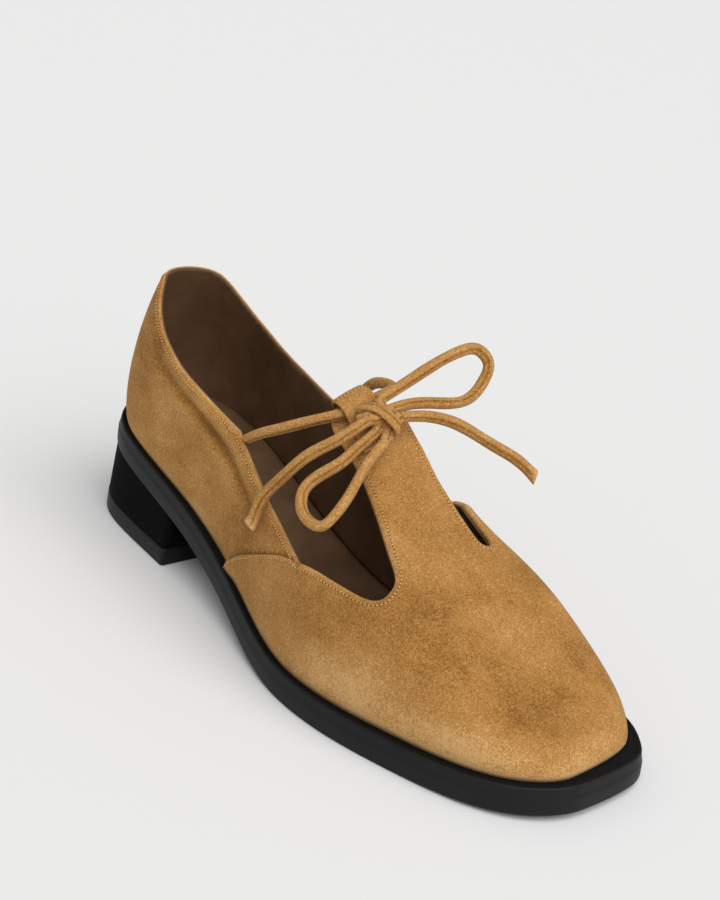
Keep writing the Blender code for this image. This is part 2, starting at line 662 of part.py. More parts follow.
def make_tab(material):
    """The strip that is folded over the strap's top and stitched down, around the lace."""
    profile = np.array(TAB_PROFILE) * (TAB_LENGTH, LACE_DIAMETER)
    middle = smooth_line(profile, TAB_PROFILE_POINTS)
    run = np.gradient(middle, axis=0)
    run /= np.linalg.norm(run, axis=1)[:, None]
    square = np.column_stack([-run[:, 1], run[:, 0]]) * TAB_WALL / 2
    section = np.concatenate([middle + square, (middle - square)[::-1]])
    arounds = np.linspace(*TAB_SPAN, TAB_STATIONS)
    rings = []
    for around in arounds:
        reach = 1e-3
        here = last_points(turn_at(TAB_FOLD_ALONG), around)
        ahead = last_points(turn_at(TAB_FOLD_ALONG + reach), around)
        share_per_metre = reach / np.linalg.norm(ahead - here)
        along = TAB_FOLD_ALONG + section[:, 0] * share_per_metre
        rings.append(over_last(along, np.full(len(along), around), section[:, 1]))
    n, half = len(section), len(middle)
    faces = []
    for k in range(TAB_STATIONS - 1):
        faces += bridge(range(k * n, (k + 1) * n), range((k + 1) * n, (k + 2) * n))
    for start in (0, (TAB_STATIONS - 1) * n):
        faces += [(start + i, start + i + 1, start + n - 2 - i, start + n - 1 - i) for i in range(half - 1)]
    return add_mesh("lace_tab", np.concatenate(rings), faces, material, sharp=50)


def add_cord(name, route, material):
    """A round cord along a smooth curve through its route, with filled ends."""
    length = np.linalg.norm(np.diff(np.asarray(route), axis=0), axis=1).sum()
    points = smooth_line(route, round(length / LACE_POINT_STEP) + 1)
    curve = bpy.data.curves.new(name, "CURVE")
    curve.dimensions = "3D"
    curve.bevel_depth = LACE_DIAMETER / 2
    curve.bevel_resolution = 2
    curve.use_fill_caps = True
    curve.materials.append(material)
    spline = curve.splines.new("POLY")
    spline.points.add(len(points) - 1)
    for target, point in zip(spline.points, points):
        target.co = (*point, 1)
    thing = bpy.data.objects.new(name, curve)
    bpy.context.collection.objects.link(thing)
    return thing


def knot_centre():
    along, around, over = KNOT_PLACE
    return over_last(along, around, over * LACE_DIAMETER)


def from_knot(route):
    return knot_centre() + np.array(route) * LACE_DIAMETER


def make_knot(material):
    """The tight core of the bow with one turn of the lace over it."""
    bpy.ops.mesh.primitive_uv_sphere_add(segments=14, ring_count=8, radius=LACE_DIAMETER / 2)
    knot = bpy.context.object
    knot.name = knot.data.name = "lace_knot"
    centre = Vector(knot_centre())
    for vertex in knot.data.vertices:
        vertex.co = centre + vertex.co * Vector(KNOT_SIZE)
    knot.data.materials.append(material)
    wrap = add_cord("wrap_line", from_knot(KNOT_WRAP), material)
    depsgraph = bpy.context.evaluated_depsgraph_get()
    mesh = bpy.data.meshes.new_from_object(wrap.evaluated_get(depsgraph))
    bpy.data.objects.remove(wrap, do_unlink=True)
    turn = bpy.data.objects.new("knot_turn", mesh)
    bpy.context.collection.objects.link(turn)
    turn.hide_render = True
    turn.display_type = "WIRE"
    joined = knot.modifiers.new("turn", "BOOLEAN")
    joined.operation = "UNION"
    joined.solver = "EXACT"
    joined.object = turn


def make_lace(material):
    rows = np.array(LACE_BAR_ROUTE)
    add_cord("lace_bars", over_last(rows[:, 0], rows[:, 1], rows[:, 2] * LACE_DIAMETER), material)
    for name, route in (
        ("lace_loop_inner", LACE_LOOP_INNER),
        ("lace_loop_outer", LACE_LOOP_OUTER),
        ("lace_end_inner", LACE_END_INNER),
        ("lace_end_outer", LACE_END_OUTER),
    ):
        add_cord(name, from_knot(route), material)
    make_knot(material)


def main():
    for thing in list(bpy.data.objects):
        bpy.data.objects.remove(thing, do_unlink=True)
    suede = make_material("tan_suede", (0.44, 0.26, 0.10), 0.9)
    rubber = make_material("black_rubber", (0.012, 0.012, 0.013), 0.45)
    heel_block = make_material("black_heel", (0.010, 0.010, 0.011), 0.5)
    lining = make_material("lining_leather", (0.30, 0.19, 0.10), 0.7)
    make_outsole(rubber)
    make_heel(heel_block, rubber)
    make_insole(lining)
    make_upper(suede)
    make_tab(suede)
    make_lace(suede)


main()
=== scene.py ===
# %% [markdown]
# # A tan suede t-strap shoe
#
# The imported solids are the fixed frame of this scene: their sizes are the shoe's own sizes. Every soft
# or moulded piece of the real shoe is made again here around them, with far more mesh than a solid
# needs, and then covered in a material worked out in nodes. It could all be sculpted by hand, but arrays
# of points keep each piece exact, and a changed number can be followed. The toe points along -Y, the
# outer side of the foot is -X, and everything is in metres.

# %% Load the frame
import math

import bmesh
import bpy
import numpy as np
from mathutils import Matrix, Vector
from mathutils.geometry import delaunay_2d_cdt
from mathutils.kdtree import KDTree


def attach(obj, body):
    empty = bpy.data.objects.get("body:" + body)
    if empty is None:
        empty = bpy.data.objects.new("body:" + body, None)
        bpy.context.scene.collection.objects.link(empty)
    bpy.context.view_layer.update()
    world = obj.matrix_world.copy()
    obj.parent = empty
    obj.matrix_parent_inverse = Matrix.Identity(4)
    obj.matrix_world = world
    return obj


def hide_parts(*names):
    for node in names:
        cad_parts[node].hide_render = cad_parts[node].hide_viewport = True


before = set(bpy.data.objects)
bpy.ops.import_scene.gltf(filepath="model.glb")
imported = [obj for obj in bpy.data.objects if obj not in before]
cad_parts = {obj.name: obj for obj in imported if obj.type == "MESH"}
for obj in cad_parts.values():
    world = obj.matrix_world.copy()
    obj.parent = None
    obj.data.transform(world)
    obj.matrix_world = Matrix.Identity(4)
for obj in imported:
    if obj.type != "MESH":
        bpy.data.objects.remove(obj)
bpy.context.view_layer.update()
MM = 0.001
print("nodes:", sorted(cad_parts))

# %% [markdown]
# ## Camera
#
# The camera was fitted to the outline of the sole as it is seen from the front outer side: well above
# the shoe, and rolled by a few degrees. It could be turned by three angles or by a constraint that aims
# it, but a rolled camera is awkward to say in angles, so its directions are written as a matrix.

# %% Camera
LENS = 72.8
SENSOR_HEIGHT = 36
CAMERA_PLACE = np.array([-377.8, -446.6, 331.1]) * MM
CAMERA_RIGHT = (0.7907, -0.5994, 0.1244)
CAMERA_UP = (0.1562, 0.3940, 0.9057)
camera_data = bpy.data.cameras.new("camera")
camera_data.lens = LENS
camera_data.sensor_fit = "VERTICAL"
camera_data.sensor_height = SENSOR_HEIGHT
camera = bpy.data.objects.new("camera", camera_data)
bpy.context.scene.collection.objects.link(camera)
right, up = Vector(CAMERA_RIGHT).normalized(), Vector(CAMERA_UP)
back = right.cross(up).normalized()
up = back.cross(right)
camera.matrix_world = Matrix.Translation(CAMERA_PLACE) @ Matrix((right, up, back)).transposed().to_4x4()
bpy.context.scene.camera = camera
print("camera at", [round(v, 3) for v in camera.matrix_world.translation])

# %% [markdown]
# ## The last
#
# A shoe is built over a last, a solid foot form. It could be sculpted, or lofted with a subdivided cage.
# Here a few short tables describe it, much as they do the solids, because lines can then be drawn on it
# exactly: the sole's half breadths along its length, and at each place the curve of a rib that climbs
# from the welt to the crest of the instep. A smooth curve through each column gives the ribs between.
# A place on the last is a pair: turn runs from the back of the heel to the toe, and around runs from
# -1 at the outer welt over 0 on the crest to 1 at the inner welt.

# %% Sizes and tables
SOLE_LENGTH = 262 * MM
SOLE_BREADTH = 90 * MM
SOLE_THICKNESS = 9.9 * MM
SOLE_FLARE = 1.0 * MM
TOE_SPRING = 2.4 * MM
TOE_SWING = 1.2 * MM
TREAD_START = 0.63
TREAD_END = 0.78
SEAT_HEIGHT = 31.3 * MM
BREAST_HEIGHT = 20.1 * MM
BREAST_FROM_BACK = 0.2508 * SOLE_LENGTH
HEEL_FLARE = 2.2 * MM
BLOCK_CORNER = 2.6 * MM
TOP_PIECE_CORNER = 1.3 * MM
TOP_PIECE_HEIGHT = 7.0 * MM
WELT_WIDTH = 4.6 * MM
INSTEP_RISE = 88 * MM
CREST_START = 0.0992 * SOLE_LENGTH
CREST_END = 0.9008 * SOLE_LENGTH
WALL = 2.0 * MM
VAMP_LAP = 0.9 * MM
LACE = 4.0 * MM
GAP = 0.3 * MM

SOLE_STATIONS = np.array((
    # along, outer side, inner side
    (0.000, 0.000, 0.000), (0.016, 0.167, 0.167), (0.062, 0.278, 0.278), (0.146, 0.323, 0.317),
    (0.287, 0.350, 0.278), (0.437, 0.413, 0.251), (0.578, 0.502, 0.303), (0.699, 0.504, 0.417),
    (0.806, 0.433, 0.492), (0.905, 0.336, 0.489), (0.965, 0.221, 0.391), (0.991, 0.111, 0.276),
    (1.000, 0.000, 0.000),
))
WELT_STATIONS = np.array((
    # along, outer side, inner side
    (0.00, 0.40, 0.40), (0.10, 0.48, 0.48), (0.30, 0.62, 0.62), (0.45, 0.72, 0.72),
    (0.62, 0.76, 0.78), (0.78, 1.00, 0.95), (0.90, 1.05, 1.15), (0.965, 1.12, 1.34),
    (0.988, 1.12, 1.56), (1.00, 1.22, 1.22),
))
LAST_STATIONS = np.array((
    # along, rise, crest, wall, swell out, swell in, crown out, crown in, drop
    (0.00, 0.995, -0.003, 0.22, 0.044, 0.044, 0.735, 0.735, 0.155),
    (0.12, 1.010, 0.013, 0.32, 0.035, 0.033, 0.740, 0.775, 0.110),
    (0.25, 0.966, 0.042, 0.42, 0.024, 0.035, 0.660, 0.695, 0.030),
    (0.38, 0.888, 0.107, 0.52, 0.023, 0.053, 0.545, 0.610, 0.000),
    (0.50, 0.816, 0.188, 0.64, 0.023, 0.077, 0.505, 0.645, 0.000),
    (0.60, 0.704, 0.176, 0.76, 0.023, 0.080, 0.505, 0.740, 0.000),
    (0.70, 0.570, 0.126, 0.82, 0.022, 0.079, 0.505, 0.800, 0.000),
    (0.80, 0.475, 0.081, 0.74, 0.022, 0.063, 0.500, 0.760, 0.000),
    (0.90, 0.329, 0.046, 0.60, 0.019, 0.042, 0.495, 0.640, 0.000),
    (1.00, 0.181, 0.013, 0.44, 0.014, 0.014, 0.490, 0.490, 0.000),
))

print("last:", len(LAST_STATIONS), "ribs in the table,", len(SOLE_STATIONS), "rows for the sole")

# %% Smooth curves through tables
def natural_spline(knots, values, at):
    """Values at given places on the smooth curve through a table's rows."""
    k, v = np.asarray(knots, float), np.asarray(values, float)
    n, h = len(k), np.diff(np.asarray(knots, float))
    rows, right_side = np.eye(n), np.zeros(n)
    for i in range(1, n - 1):
        rows[i, i - 1:i + 2] = h[i - 1], 2 * (h[i - 1] + h[i]), h[i]
        right_side[i] = 6 * ((v[i + 1] - v[i]) / h[i] - (v[i] - v[i - 1]) / h[i - 1])
    m = np.linalg.solve(rows, right_side)
    x = np.clip(np.asarray(at, float), k[0], k[-1])
    j = np.clip(np.searchsorted(k, x, side="right") - 1, 0, n - 2)
    a, b, step = x - k[j], k[j + 1] - x, h[j]
    curved = (m[j] * b**3 + m[j + 1] * a**3) / (6 * step)
    return curved + (v[j] / step - m[j] * step / 6) * b + (v[j + 1] / step - m[j + 1] * step / 6) * a


def turn_at(along):
    """The turn of a place along the sole. Turns spread out both ends, where the edge curves most."""
    return np.arccos(1 - 2 * np.clip(along, 0, 1)) / math.pi


def along_at(turn):
    """The other way round: how far along a turn lies."""
    return (1 - np.cos(math.pi * np.asarray(turn, float))) / 2


print("halfway along is turn", round(float(turn_at(0.5)), 2))

# %% Sole lines
def sole_edge(turn, side, inset=0.0):
    """Points on the sole's outline, moved inwards by inset, and the inward directions there."""
    knots = turn_at(SOLE_STATIONS[:, 0])
    half = SOLE_STATIONS[:, 1 if side < 0 else 2] * SOLE_BREADTH

    def outline(t):
        folded = np.where(t > 1, 2 - t, np.abs(t))
        sign = np.where((t > 1) | (t < 0), -1, 1)
        along = along_at(folded)
        swing = TOE_SWING * np.clip((along - 0.6) / 0.4, 0, 1)**2
        across = side * sign * natural_spline(knots, half, folded) + swing
        return np.stack([across, SOLE_LENGTH * (0.5 - along)], axis=-1)

    turn, reach = np.asarray(turn, float), 1e-4
    tangent = outline(turn + reach) - outline(turn - reach)
    tangent /= np.linalg.norm(tangent, axis=-1)[..., None]
    inward = -side * np.stack([-tangent[..., 1], tangent[..., 0]], axis=-1)
    return outline(turn) + inward * np.asarray(inset)[..., None], inward


def welt(turn, side):
    """How far in from the sole's edge the upper meets the sole."""
    column = WELT_STATIONS[:, 1 if side < 0 else 2]
    return natural_spline(turn_at(WELT_STATIONS[:, 0]), column * WELT_WIDTH, turn)


def sole_underside(from_heel):
    """The height of the sole's lower face: the seat, the falling shank, the tread and the toe spring."""
    s = np.asarray(from_heel, float)
    seat = SEAT_HEIGHT + (BREAST_HEIGHT - SEAT_HEIGHT) * np.clip(s / BREAST_FROM_BACK, 0, 1)
    shank = TREAD_START * SOLE_LENGTH - BREAST_FROM_BACK
    k = np.clip((s - BREAST_FROM_BACK) / shank, 0, 1)
    slope = (BREAST_HEIGHT - SEAT_HEIGHT) / BREAST_FROM_BACK * shank
    fall = BREAST_HEIGHT * (2 * k**3 - 3 * k**2 + 1) + slope * (k**3 - 2 * k**2 + k)
    spring = TOE_SPRING * np.clip((s / SOLE_LENGTH - TREAD_END) / (1 - TREAD_END), 0, None)**2
    return np.where(s < BREAST_FROM_BACK, seat, np.where(k < 1, fall, 0.0)) + spring


def sole_top(from_heel):
    return sole_underside(from_heel) + SOLE_THICKNESS


def from_back(points):
    """How far points lie from the back of the heel, along the floor."""
    return SOLE_LENGTH / 2 - np.asarray(points)[..., 1]


def even_turns(count, ends=0.0):
    """Places around the sole, evenly spaced along its edge from the heel's back to the toe's tip."""
    fine = np.linspace(0, 1, 800)
    steps = [np.linalg.norm(np.diff(sole_edge(fine, side)[0], axis=0), axis=1) for side in (-1, 1)]
    length = np.concatenate([[0], np.cumsum(steps[0] + steps[1])])
    turns = np.interp(np.linspace(0, length[-1], count), length, fine)
    turns[[0, -1]] = ends, 1 - ends
    return turns


print("sole top at the heel", round(float(sole_top(0.0)) / MM, 1), "mm")

# %% Ribs of the last
def rib_points(turn, rise_share, side):
    """Points on ribs of one side, where rise_share is 0 at the welt and 1 at the crest."""
    along = along_at(turn)
    table = {i: natural_spline(LAST_STATIONS[:, 0], LAST_STATIONS[:, i], along) for i in range(2, 9)}
    foot, inward = sole_edge(turn, side, welt(turn, side))
    foot = np.concatenate([foot, (sole_top(from_back(foot)) + GAP)[..., None]], axis=-1)
    span, reach = CREST_END - CREST_START, 1e-3

    def height(share):
        rise = natural_spline(LAST_STATIONS[:, 0], LAST_STATIONS[:, 1] * INSTEP_RISE, share)
        return sole_top(CREST_START + span * share) + rise

    low, high = np.clip(along - reach, 0, 1), np.clip(along + reach, 0, 1)
    slope = (height(high) - height(low)) / (span * (high - low))
    crest = np.stack([table[2] * SOLE_BREADTH, SOLE_LENGTH / 2 - CREST_START - span * along, height(along)],
                     axis=-1)
    swell = table[4 if side < 0 else 5] * SOLE_BREADTH
    crown = table[6 if side < 0 else 7]
    rise = crest[..., 2] - foot[..., 2]
    across = crest[..., :2] - foot[..., :2]
    wall_end = foot + np.concatenate([-inward * swell[..., None], (table[3] * rise)[..., None]], axis=-1)
    crown_drop = slope * across[..., 1] * crown - table[8] * rise
    crown_end = crest + np.concatenate([-across * crown[..., None], crown_drop[..., None]], axis=-1)
    u = np.asarray(rise_share, float)[..., None]
    return (1 - u)**3 * foot + 3 * (1 - u)**2 * u * wall_end + 3 * (1 - u) * u**2 * crown_end + u**3 * crest


print("top of the rib at the middle", rib_points(0.5, 1.0, 1).round(4))

# %% Places on the last
def last_points(turn, around):
    """Points on the last's surface."""
    turn, around = np.broadcast_arrays(np.asarray(turn, float), np.asarray(around, float))
    outer = rib_points(turn, 1 - np.abs(around), -1)
    inner = rib_points(turn, 1 - np.abs(around), 1)
    return np.where((around < 0)[..., None], outer, inner)


def last_slopes(turn, around):
    """How the last's surface runs lengthwise and crosswise at places on it."""
    turn, around = np.broadcast_arrays(np.asarray(turn, float), np.asarray(around, float))
    reach = 2e-3
    side = np.where(around < 0, -1.0, 1.0)
    t_low, t_high = np.clip(turn - reach, 0, 1), np.clip(turn + reach, 0, 1)
    a = np.abs(around)
    a_low, a_high = np.clip(a - reach, 0, 1), np.clip(a + reach, 0, 1)
    hair = side * 1e-12
    lengthwise = last_points(t_high, side * a + hair) - last_points(t_low, side * a + hair)
    crosswise = last_points(turn, side * a_high + hair) - last_points(turn, side * a_low + hair)
    return lengthwise / (t_high - t_low)[..., None], crosswise / (side * (a_high - a_low))[..., None]


def last_normals(turn, around):
    """Directions straight out of the last's surface."""
    lengthwise, crosswise = last_slopes(turn, around)
    normal = np.cross(lengthwise, crosswise)
    return normal / np.linalg.norm(normal, axis=-1)[..., None]


def over_last(along, around, over):
    """Points that far over the last's surface."""
    turn = turn_at(along)
    return last_points(turn, around) + last_normals(turn, around) * np.asarray(over)[..., None]


print("crest of the instep at", over_last(0.5, 0.0, 0.0).round(4))

# %% [markdown]
# ## Lines on the last
#
# The maker draws the openings, seams and stitch rows on the last, and so does this script. They could
# be projected onto the mesh afterwards, which leaves ragged edges, so they are known before there is a
# mesh. A smooth curve is passed through a few given places. To set one line beside another,
# such as stitches a few millimetres from an edge, it is stepped aside in real millimetres.

# %% Lines
def smooth_line(points, count):
    """A smooth open curve through points, as evenly spaced points along it."""
    points = np.asarray(points, float)
    chord = np.concatenate([[0], np.cumsum(np.sqrt(np.linalg.norm(np.diff(points, axis=0), axis=1)))])
    fine = np.linspace(0, chord[-1], 40 * len(points))
    curve = np.stack([natural_spline(chord, c, fine) for c in points.T], axis=-1)
    length = np.concatenate([[0], np.cumsum(np.linalg.norm(np.diff(curve, axis=0), axis=1))])
    even = np.linspace(0, length[-1], count)
    return np.stack([np.interp(even, length, c) for c in curve.T], axis=-1)


def respaced(places, step):
    """The same line on the last with its places a real step apart."""
    run = np.linalg.norm(np.diff(last_points(*places.T), axis=0), axis=1)
    length = np.concatenate([[0], np.cumsum(run)])
    even = np.linspace(0, length[-1], max(3, round(length[-1] / step) + 1))
    return np.stack([np.interp(even, length, c) for c in places.T], axis=-1)


def edge_line(rows, step):
    """A line on the last from given rows of along and around."""
    rows = np.array(rows)
    rough = smooth_line(np.column_stack([turn_at(rows[:, 0]), rows[:, 1]]), 160)
    return respaced(rough, step)


def stepped_aside(places, distance):
    """A line on the last moved sideways along the surface by a real distance.

    The aim is a point beside the line, and a few rounds of sliding along the surface come to it.
    """
    start = last_points(*places.T)
    run = np.gradient(start, axis=0)
    run /= np.linalg.norm(run, axis=-1)[:, None]
    aim = start + np.cross(last_normals(*places.T), run) * distance
    for _ in range(5):
        lengthwise, crosswise = last_slopes(*places.T)
        left = aim - last_points(*places.T)
        ll, lc, cc = (lengthwise**2).sum(-1), (lengthwise * crosswise).sum(-1), (crosswise**2).sum(-1)
        al, ac = (left * lengthwise).sum(-1), (left * crosswise).sum(-1)
        scale = ll * cc - lc**2
        places = places + np.stack([(al * cc - ac * lc) / scale, (ac * ll - al * lc) / scale], axis=-1)
        places = np.column_stack([np.clip(places[:, 0], 0, 1), np.clip(places[:, 1], -1, 1)])
    return places


print("lines can be drawn on the last")

# %% Edges and seams
TOPLINE_OUTER = (
    # along, around
    (0.000, -0.365), (0.024, -0.370), (0.043, -0.390), (0.067, -0.440), (0.098, -0.500),
    (0.128, -0.545), (0.158, -0.578), (0.190, -0.604), (0.230, -0.620), (0.290, -0.626),
    (0.350, -0.615),
)
FRONT_EDGE_OUTER = ((0.364, -0.628), (0.417, -0.665), (0.458, -0.685), (0.516, -0.697), (0.572, -0.710))
VAMP_EDGE_OUTER = (
    (0.578, -0.710), (0.605, -0.680), (0.644, -0.645), (0.680, -0.614), (0.705, -0.588),
    (0.722, -0.550), (0.7275, -0.490), (0.718, -0.415),
    (0.684, -0.368), (0.629, -0.326), (0.567, -0.313), (0.532, -0.319), (0.500, -0.325),
)
STRAP_TOP = (
    (0.484, -0.322), (0.466, -0.295), (0.463, -0.200), (0.474, -0.130), (0.490, -0.087), (0.506, -0.030),
)
VAMP_EDGE_INNER = (
    (0.519, -0.010), (0.567, -0.005), (0.625, 0.045), (0.661, 0.085), (0.705, 0.102),
    (0.726, 0.108), (0.734, 0.150), (0.715, 0.215),
    (0.690, 0.235), (0.659, 0.262), (0.630, 0.370), (0.605, 0.480), (0.583, 0.575),
)
FRONT_EDGE_INNER = ((0.576, 0.590), (0.516, 0.600), (0.458, 0.598), (0.417, 0.592), (0.368, 0.585))
TOPLINE_INNER = (
    (0.350, 0.572), (0.290, 0.590), (0.230, 0.596), (0.190, 0.586), (0.158, 0.566), (0.128, 0.540),
    (0.098, 0.500), (0.067, 0.440), (0.043, 0.390), (0.024, 0.370), (0.000, 0.365),
)
OPENING = (TOPLINE_OUTER, FRONT_EDGE_OUTER, VAMP_EDGE_OUTER, STRAP_TOP, VAMP_EDGE_INNER, FRONT_EDGE_INNER,
           TOPLINE_INNER)
SEAM_OUTER = (
    (0.404, -1.0), (0.418, -0.955), (0.442, -0.903), (0.494, -0.820), (0.541, -0.750), (0.578, -0.710),
)
SEAM_INNER = ((0.404, 1.0), (0.418, 0.955), (0.442, 0.900), (0.494, 0.795), (0.541, 0.690), (0.583, 0.582))


def opening_line(step):
    """The whole edge of the opening, as a chain that closes at the back of the heel."""
    lines = [edge_line(rows, step) for rows in OPENING]
    lines[-1] = lines[-1][:-1]
    return np.concatenate(lines)


opening_run = np.diff(last_points(*opening_line(2 * MM).T), axis=0)
print("the opening's edge is", round(np.linalg.norm(opening_run, axis=1).sum() / MM), "mm long")

# %% [markdown]
# ## Meshes from arrays
#
# Blender's own tools could make most of these pieces, but modifiers and curves are hard to keep exact
# to a tenth of a millimetre. So all pieces come from arrays of points and faces. One helper makes the
# mesh and turns its faces outwards, another lays out the faces of a grid, and a third closes a ring.
# Numbers that the materials need, such as how pale the nap is and where shade or light is painted, are kept on the
# mesh as attributes.

# %% Mesh helpers
def make_piece(name, points, faces, material, attributes=None, sharp=None):
    """A smooth-shaded mesh from an array of points and lists of faces."""
    mesh = bpy.data.meshes.new(name)
    points = np.asarray(points, float)
    sizes = np.concatenate([np.full(len(f), f.shape[1]) for f in faces])
    corners = np.concatenate([f.ravel() for f in faces])
    mesh.vertices.add(len(points))
    mesh.vertices.foreach_set("co", points.astype(np.float32).ravel())
    mesh.loops.add(len(corners))
    mesh.loops.foreach_set("vertex_index", corners.astype(np.int32))
    mesh.polygons.add(len(sizes))
    mesh.polygons.foreach_set("loop_start", np.concatenate([[0], np.cumsum(sizes)[:-1]]).astype(np.int32))
    for key, values in (attributes or {}).items():
        mesh.attributes.new(key, "FLOAT", "POINT").data.foreach_set("value", np.asarray(values, np.float32))
    mesh.update(calc_edges=True)
    mesh.validate()
    outwards = bmesh.new()
    outwards.from_mesh(mesh)
    bmesh.ops.recalc_face_normals(outwards, faces=outwards.faces)
    outwards.to_mesh(mesh)
    outwards.free()
    mesh.shade_smooth()
    if sharp:
        mesh.set_sharp_from_angle(angle=math.radians(sharp))
    piece = bpy.data.objects.new(name, mesh)
    bpy.context.scene.collection.objects.link(piece)
    mesh.materials.append(material)
    triangles = int((sizes - 2).sum())
    print(f"{name}: {len(points)} points, {triangles} triangles")
    return piece


print("pieces are made from arrays")

# %% Faces between points
def grid_faces(rows, columns, start=0, around=False, flip=False):
    """Quads of a grid of points numbered row by row, closed around its columns if asked."""
    i, j = np.meshgrid(np.arange(rows - 1), np.arange(columns if around else columns - 1), indexing="ij")
    k = (j + 1) % columns
    here, above = i * columns, (i + 1) * columns
    quads = np.stack([here + j, here + k, above + k, above + j], axis=-1).reshape(-1, 4) + start
    return quads[:, ::-1] if flip else quads


def ring_cap(start, count):
    """Faces that close a ring of points across its middle line, on which its first point lies."""
    pairs = np.arange(1, (count - 1) // 2 + 1)
    left, right_side = start + pairs, start + count - pairs
    strips = np.stack([left[:-1], right_side[:-1], right_side[1:], left[1:]], axis=-1)
    tips = [(start, right_side[0], left[0])]
    if count % 2 == 0:
        tips.append((left[-1], right_side[-1], start + count // 2))
    return [strips, np.array(tips)]


def stacked(rings):
    """Points and faces of rings one over another, closed at both ends."""
    count, each = len(rings), len(rings[0])
    faces = [grid_faces(count, each, around=True, flip=True)]
    return np.concatenate(rings), faces + ring_cap(0, each) + ring_cap((count - 1) * each, each)


def fit_on(piece, slot_name, *nodes):
    """Set a piece on the shoe, and hide the named solids that it stands in for. slot_name is not used."""
    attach(piece, "root")
    if nodes:
        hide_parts(*nodes)
    return piece


print("a cap for eight points has", sum(len(part) for part in ring_cap(0, 8)), "faces")

# %% [markdown]
# ## Writing materials as sums
#
# A finish could be wired by hand in the shader editor, but a tree of many nodes is hard to follow. It
# is easier to read as arithmetic. Wire wraps an output socket, so that `1 - mask * 0.3` adds the Math
# nodes by itself. Colours are mixed with Mix nodes, since a Math node would turn them grey. Every other
# node comes from the one method `node`.

# %% Wire
class Wire:
    """An output socket that can be used in sums."""

    def __init__(self, socket):
        self.socket, self.tree = socket, socket.id_data

    def node(self, kind, settings=None, inputs=None, output=0):
        """A new node: its type, its settings first, then its inputs as wires or constants."""
        made = self.tree.nodes.new(kind)
        for key, value in (settings or {}).items():
            setattr(made, key, value)
        for key, value in (inputs or {}).items():
            if isinstance(value, Wire):
                self.tree.links.new(value.socket, made.inputs[key])
            else:
                made.inputs[key].default_value = value
        return Wire(made.outputs[output])

    def sum(self, operation, a, b=0.0):
        return self.node("ShaderNodeMath", {"operation": operation}, {0: a, 1: b})

    def __add__(self, other):
        return self.sum("ADD", self, other)

    def __sub__(self, other):
        return self.sum("SUBTRACT", self, other)

    def __rsub__(self, other):
        return self.sum("SUBTRACT", other, self)

    def __mul__(self, other):
        return self.sum("MULTIPLY", self, other)

    __radd__, __rmul__ = __add__, __mul__

    def noise(self, scale, detail=3.0, roughness=0.55, stretch=(1, 1, 1)):
        """Soft random values about a half, with the given number of features per metre."""
        place = self.node("ShaderNodeVectorMath", {"operation": "MULTIPLY"}, {0: self, 1: stretch})
        return self.node("ShaderNodeTexNoise", {}, {
            "Vector": place, "Scale": scale, "Detail": detail, "Roughness": roughness})

    def stops(self, low, high, bottom=0.0, top=1.0):
        """The value spread from low..high to bottom..top, smoothly and without going past them."""
        return self.node("ShaderNodeMapRange", {"interpolation_type": "SMOOTHSTEP"}, {
            "Value": self, "From Min": low, "From Max": high, "To Min": bottom, "To Max": top})

    def mixed(self, first, second):
        """Two colours mixed by this value."""
        colours = [c if isinstance(c, Wire) else (*c, 1) for c in (first, second)]
        inputs = {0: self, 6: colours[0], 7: colours[1]}
        return self.node("ShaderNodeMix", {"data_type": "RGBA"}, inputs, output=2)

    def bump(self, height, strength, distance):
        """A normal from a height in the given distance, on top of this normal."""
        return self.node("ShaderNodeBump", {}, {
            "Height": height, "Strength": strength, "Distance": distance, "Normal": self})


print("wires can be added, multiplied, mixed and turned into bumps")

# %% Starting and feeding a material
def new_material(name, fixed):
    """A Principled material with constants on its sockets, and wires to start from."""
    material = bpy.data.materials.new(name)
    material.use_nodes = True
    tree = material.node_tree
    shader = tree.nodes["Principled BSDF"]
    for key, value in fixed.items():
        shader.inputs[key].default_value = value
    place = Wire(tree.nodes.new("ShaderNodeTexCoord").outputs["Object"])
    return material, shader, place


def attribute(place, name):
    """Numbers that the mesh carries at its points."""
    return place.node("ShaderNodeAttribute", {"attribute_name": name}, output=2)


def feed(shader, **sockets):
    """Link wires to the shader's sockets, named with underscores for spaces."""
    for key, wire in sockets.items():
        wire.tree.links.new(wire.socket, shader.inputs[key.replace("_", " ")])


print("materials are written with Wire")

# %% [markdown]
# ## Suede
#
# Suede is the flesh side of the hide, brushed until it stands up as a short nap. Where the nap lies one
# way it looks pale, where it was stroked the other way it looks dark, so it is never one colour. A
# picture of suede could be wrapped on, but it would stretch and repeat. Here four sizes of soft noise
# give the cloudy patches, the strokes, the tufts and the single fibres. Where the photograph shows a
# clear patch, such as the pale rim over the sole, the mesh carries it as the attribute "shade". Sheen
# gives the pale fuzz at the edges, and there is hardly any gloss.
# Besides the nap, the attribute holds painted light: shade in the troughs of the creases, behind the seams, along
# the lace's slit and inside the tab's fold, highlights on the creases' ridges, and, with the pale nap there, some
# light thrown up from the floor in the pale rim and patches low on the vamp.

# %% Suede
SUEDE_DARK = (0.205, 0.088, 0.018)
SUEDE_MIDDLE = (0.415, 0.200, 0.053)
SUEDE_PALE = (0.660, 0.400, 0.165)
SUEDE_SHEEN = {
    "Roughness": 0.95, "Sheen Weight": 0.14, "Sheen Roughness": 0.45,
    "Sheen Tint": (1.0, 0.76, 0.45, 1), "Specular IOR Level": 0.10}
SUEDE_NOISES = (
    # features per metre, detail, roughness, stretch, how much it shows, and whether it is grain
    (32, 2.0, 0.5, (1, 0.8, 1.3), 0.75, False),
    (150, 3.0, 0.6, (1, 0.6, 1.2), 0.42, False),
    (850, 3.0, 0.65, (1, 1, 1), 0.60, True),
    (1900, 2.0, 0.8, (1, 1, 1), 1.20, True),
)
TUFT_BUMP = (0.6, 0.45 * MM)
FIBRE_BUMP = (0.5, 0.22 * MM)
BRIGHT_TIPS = 0.16


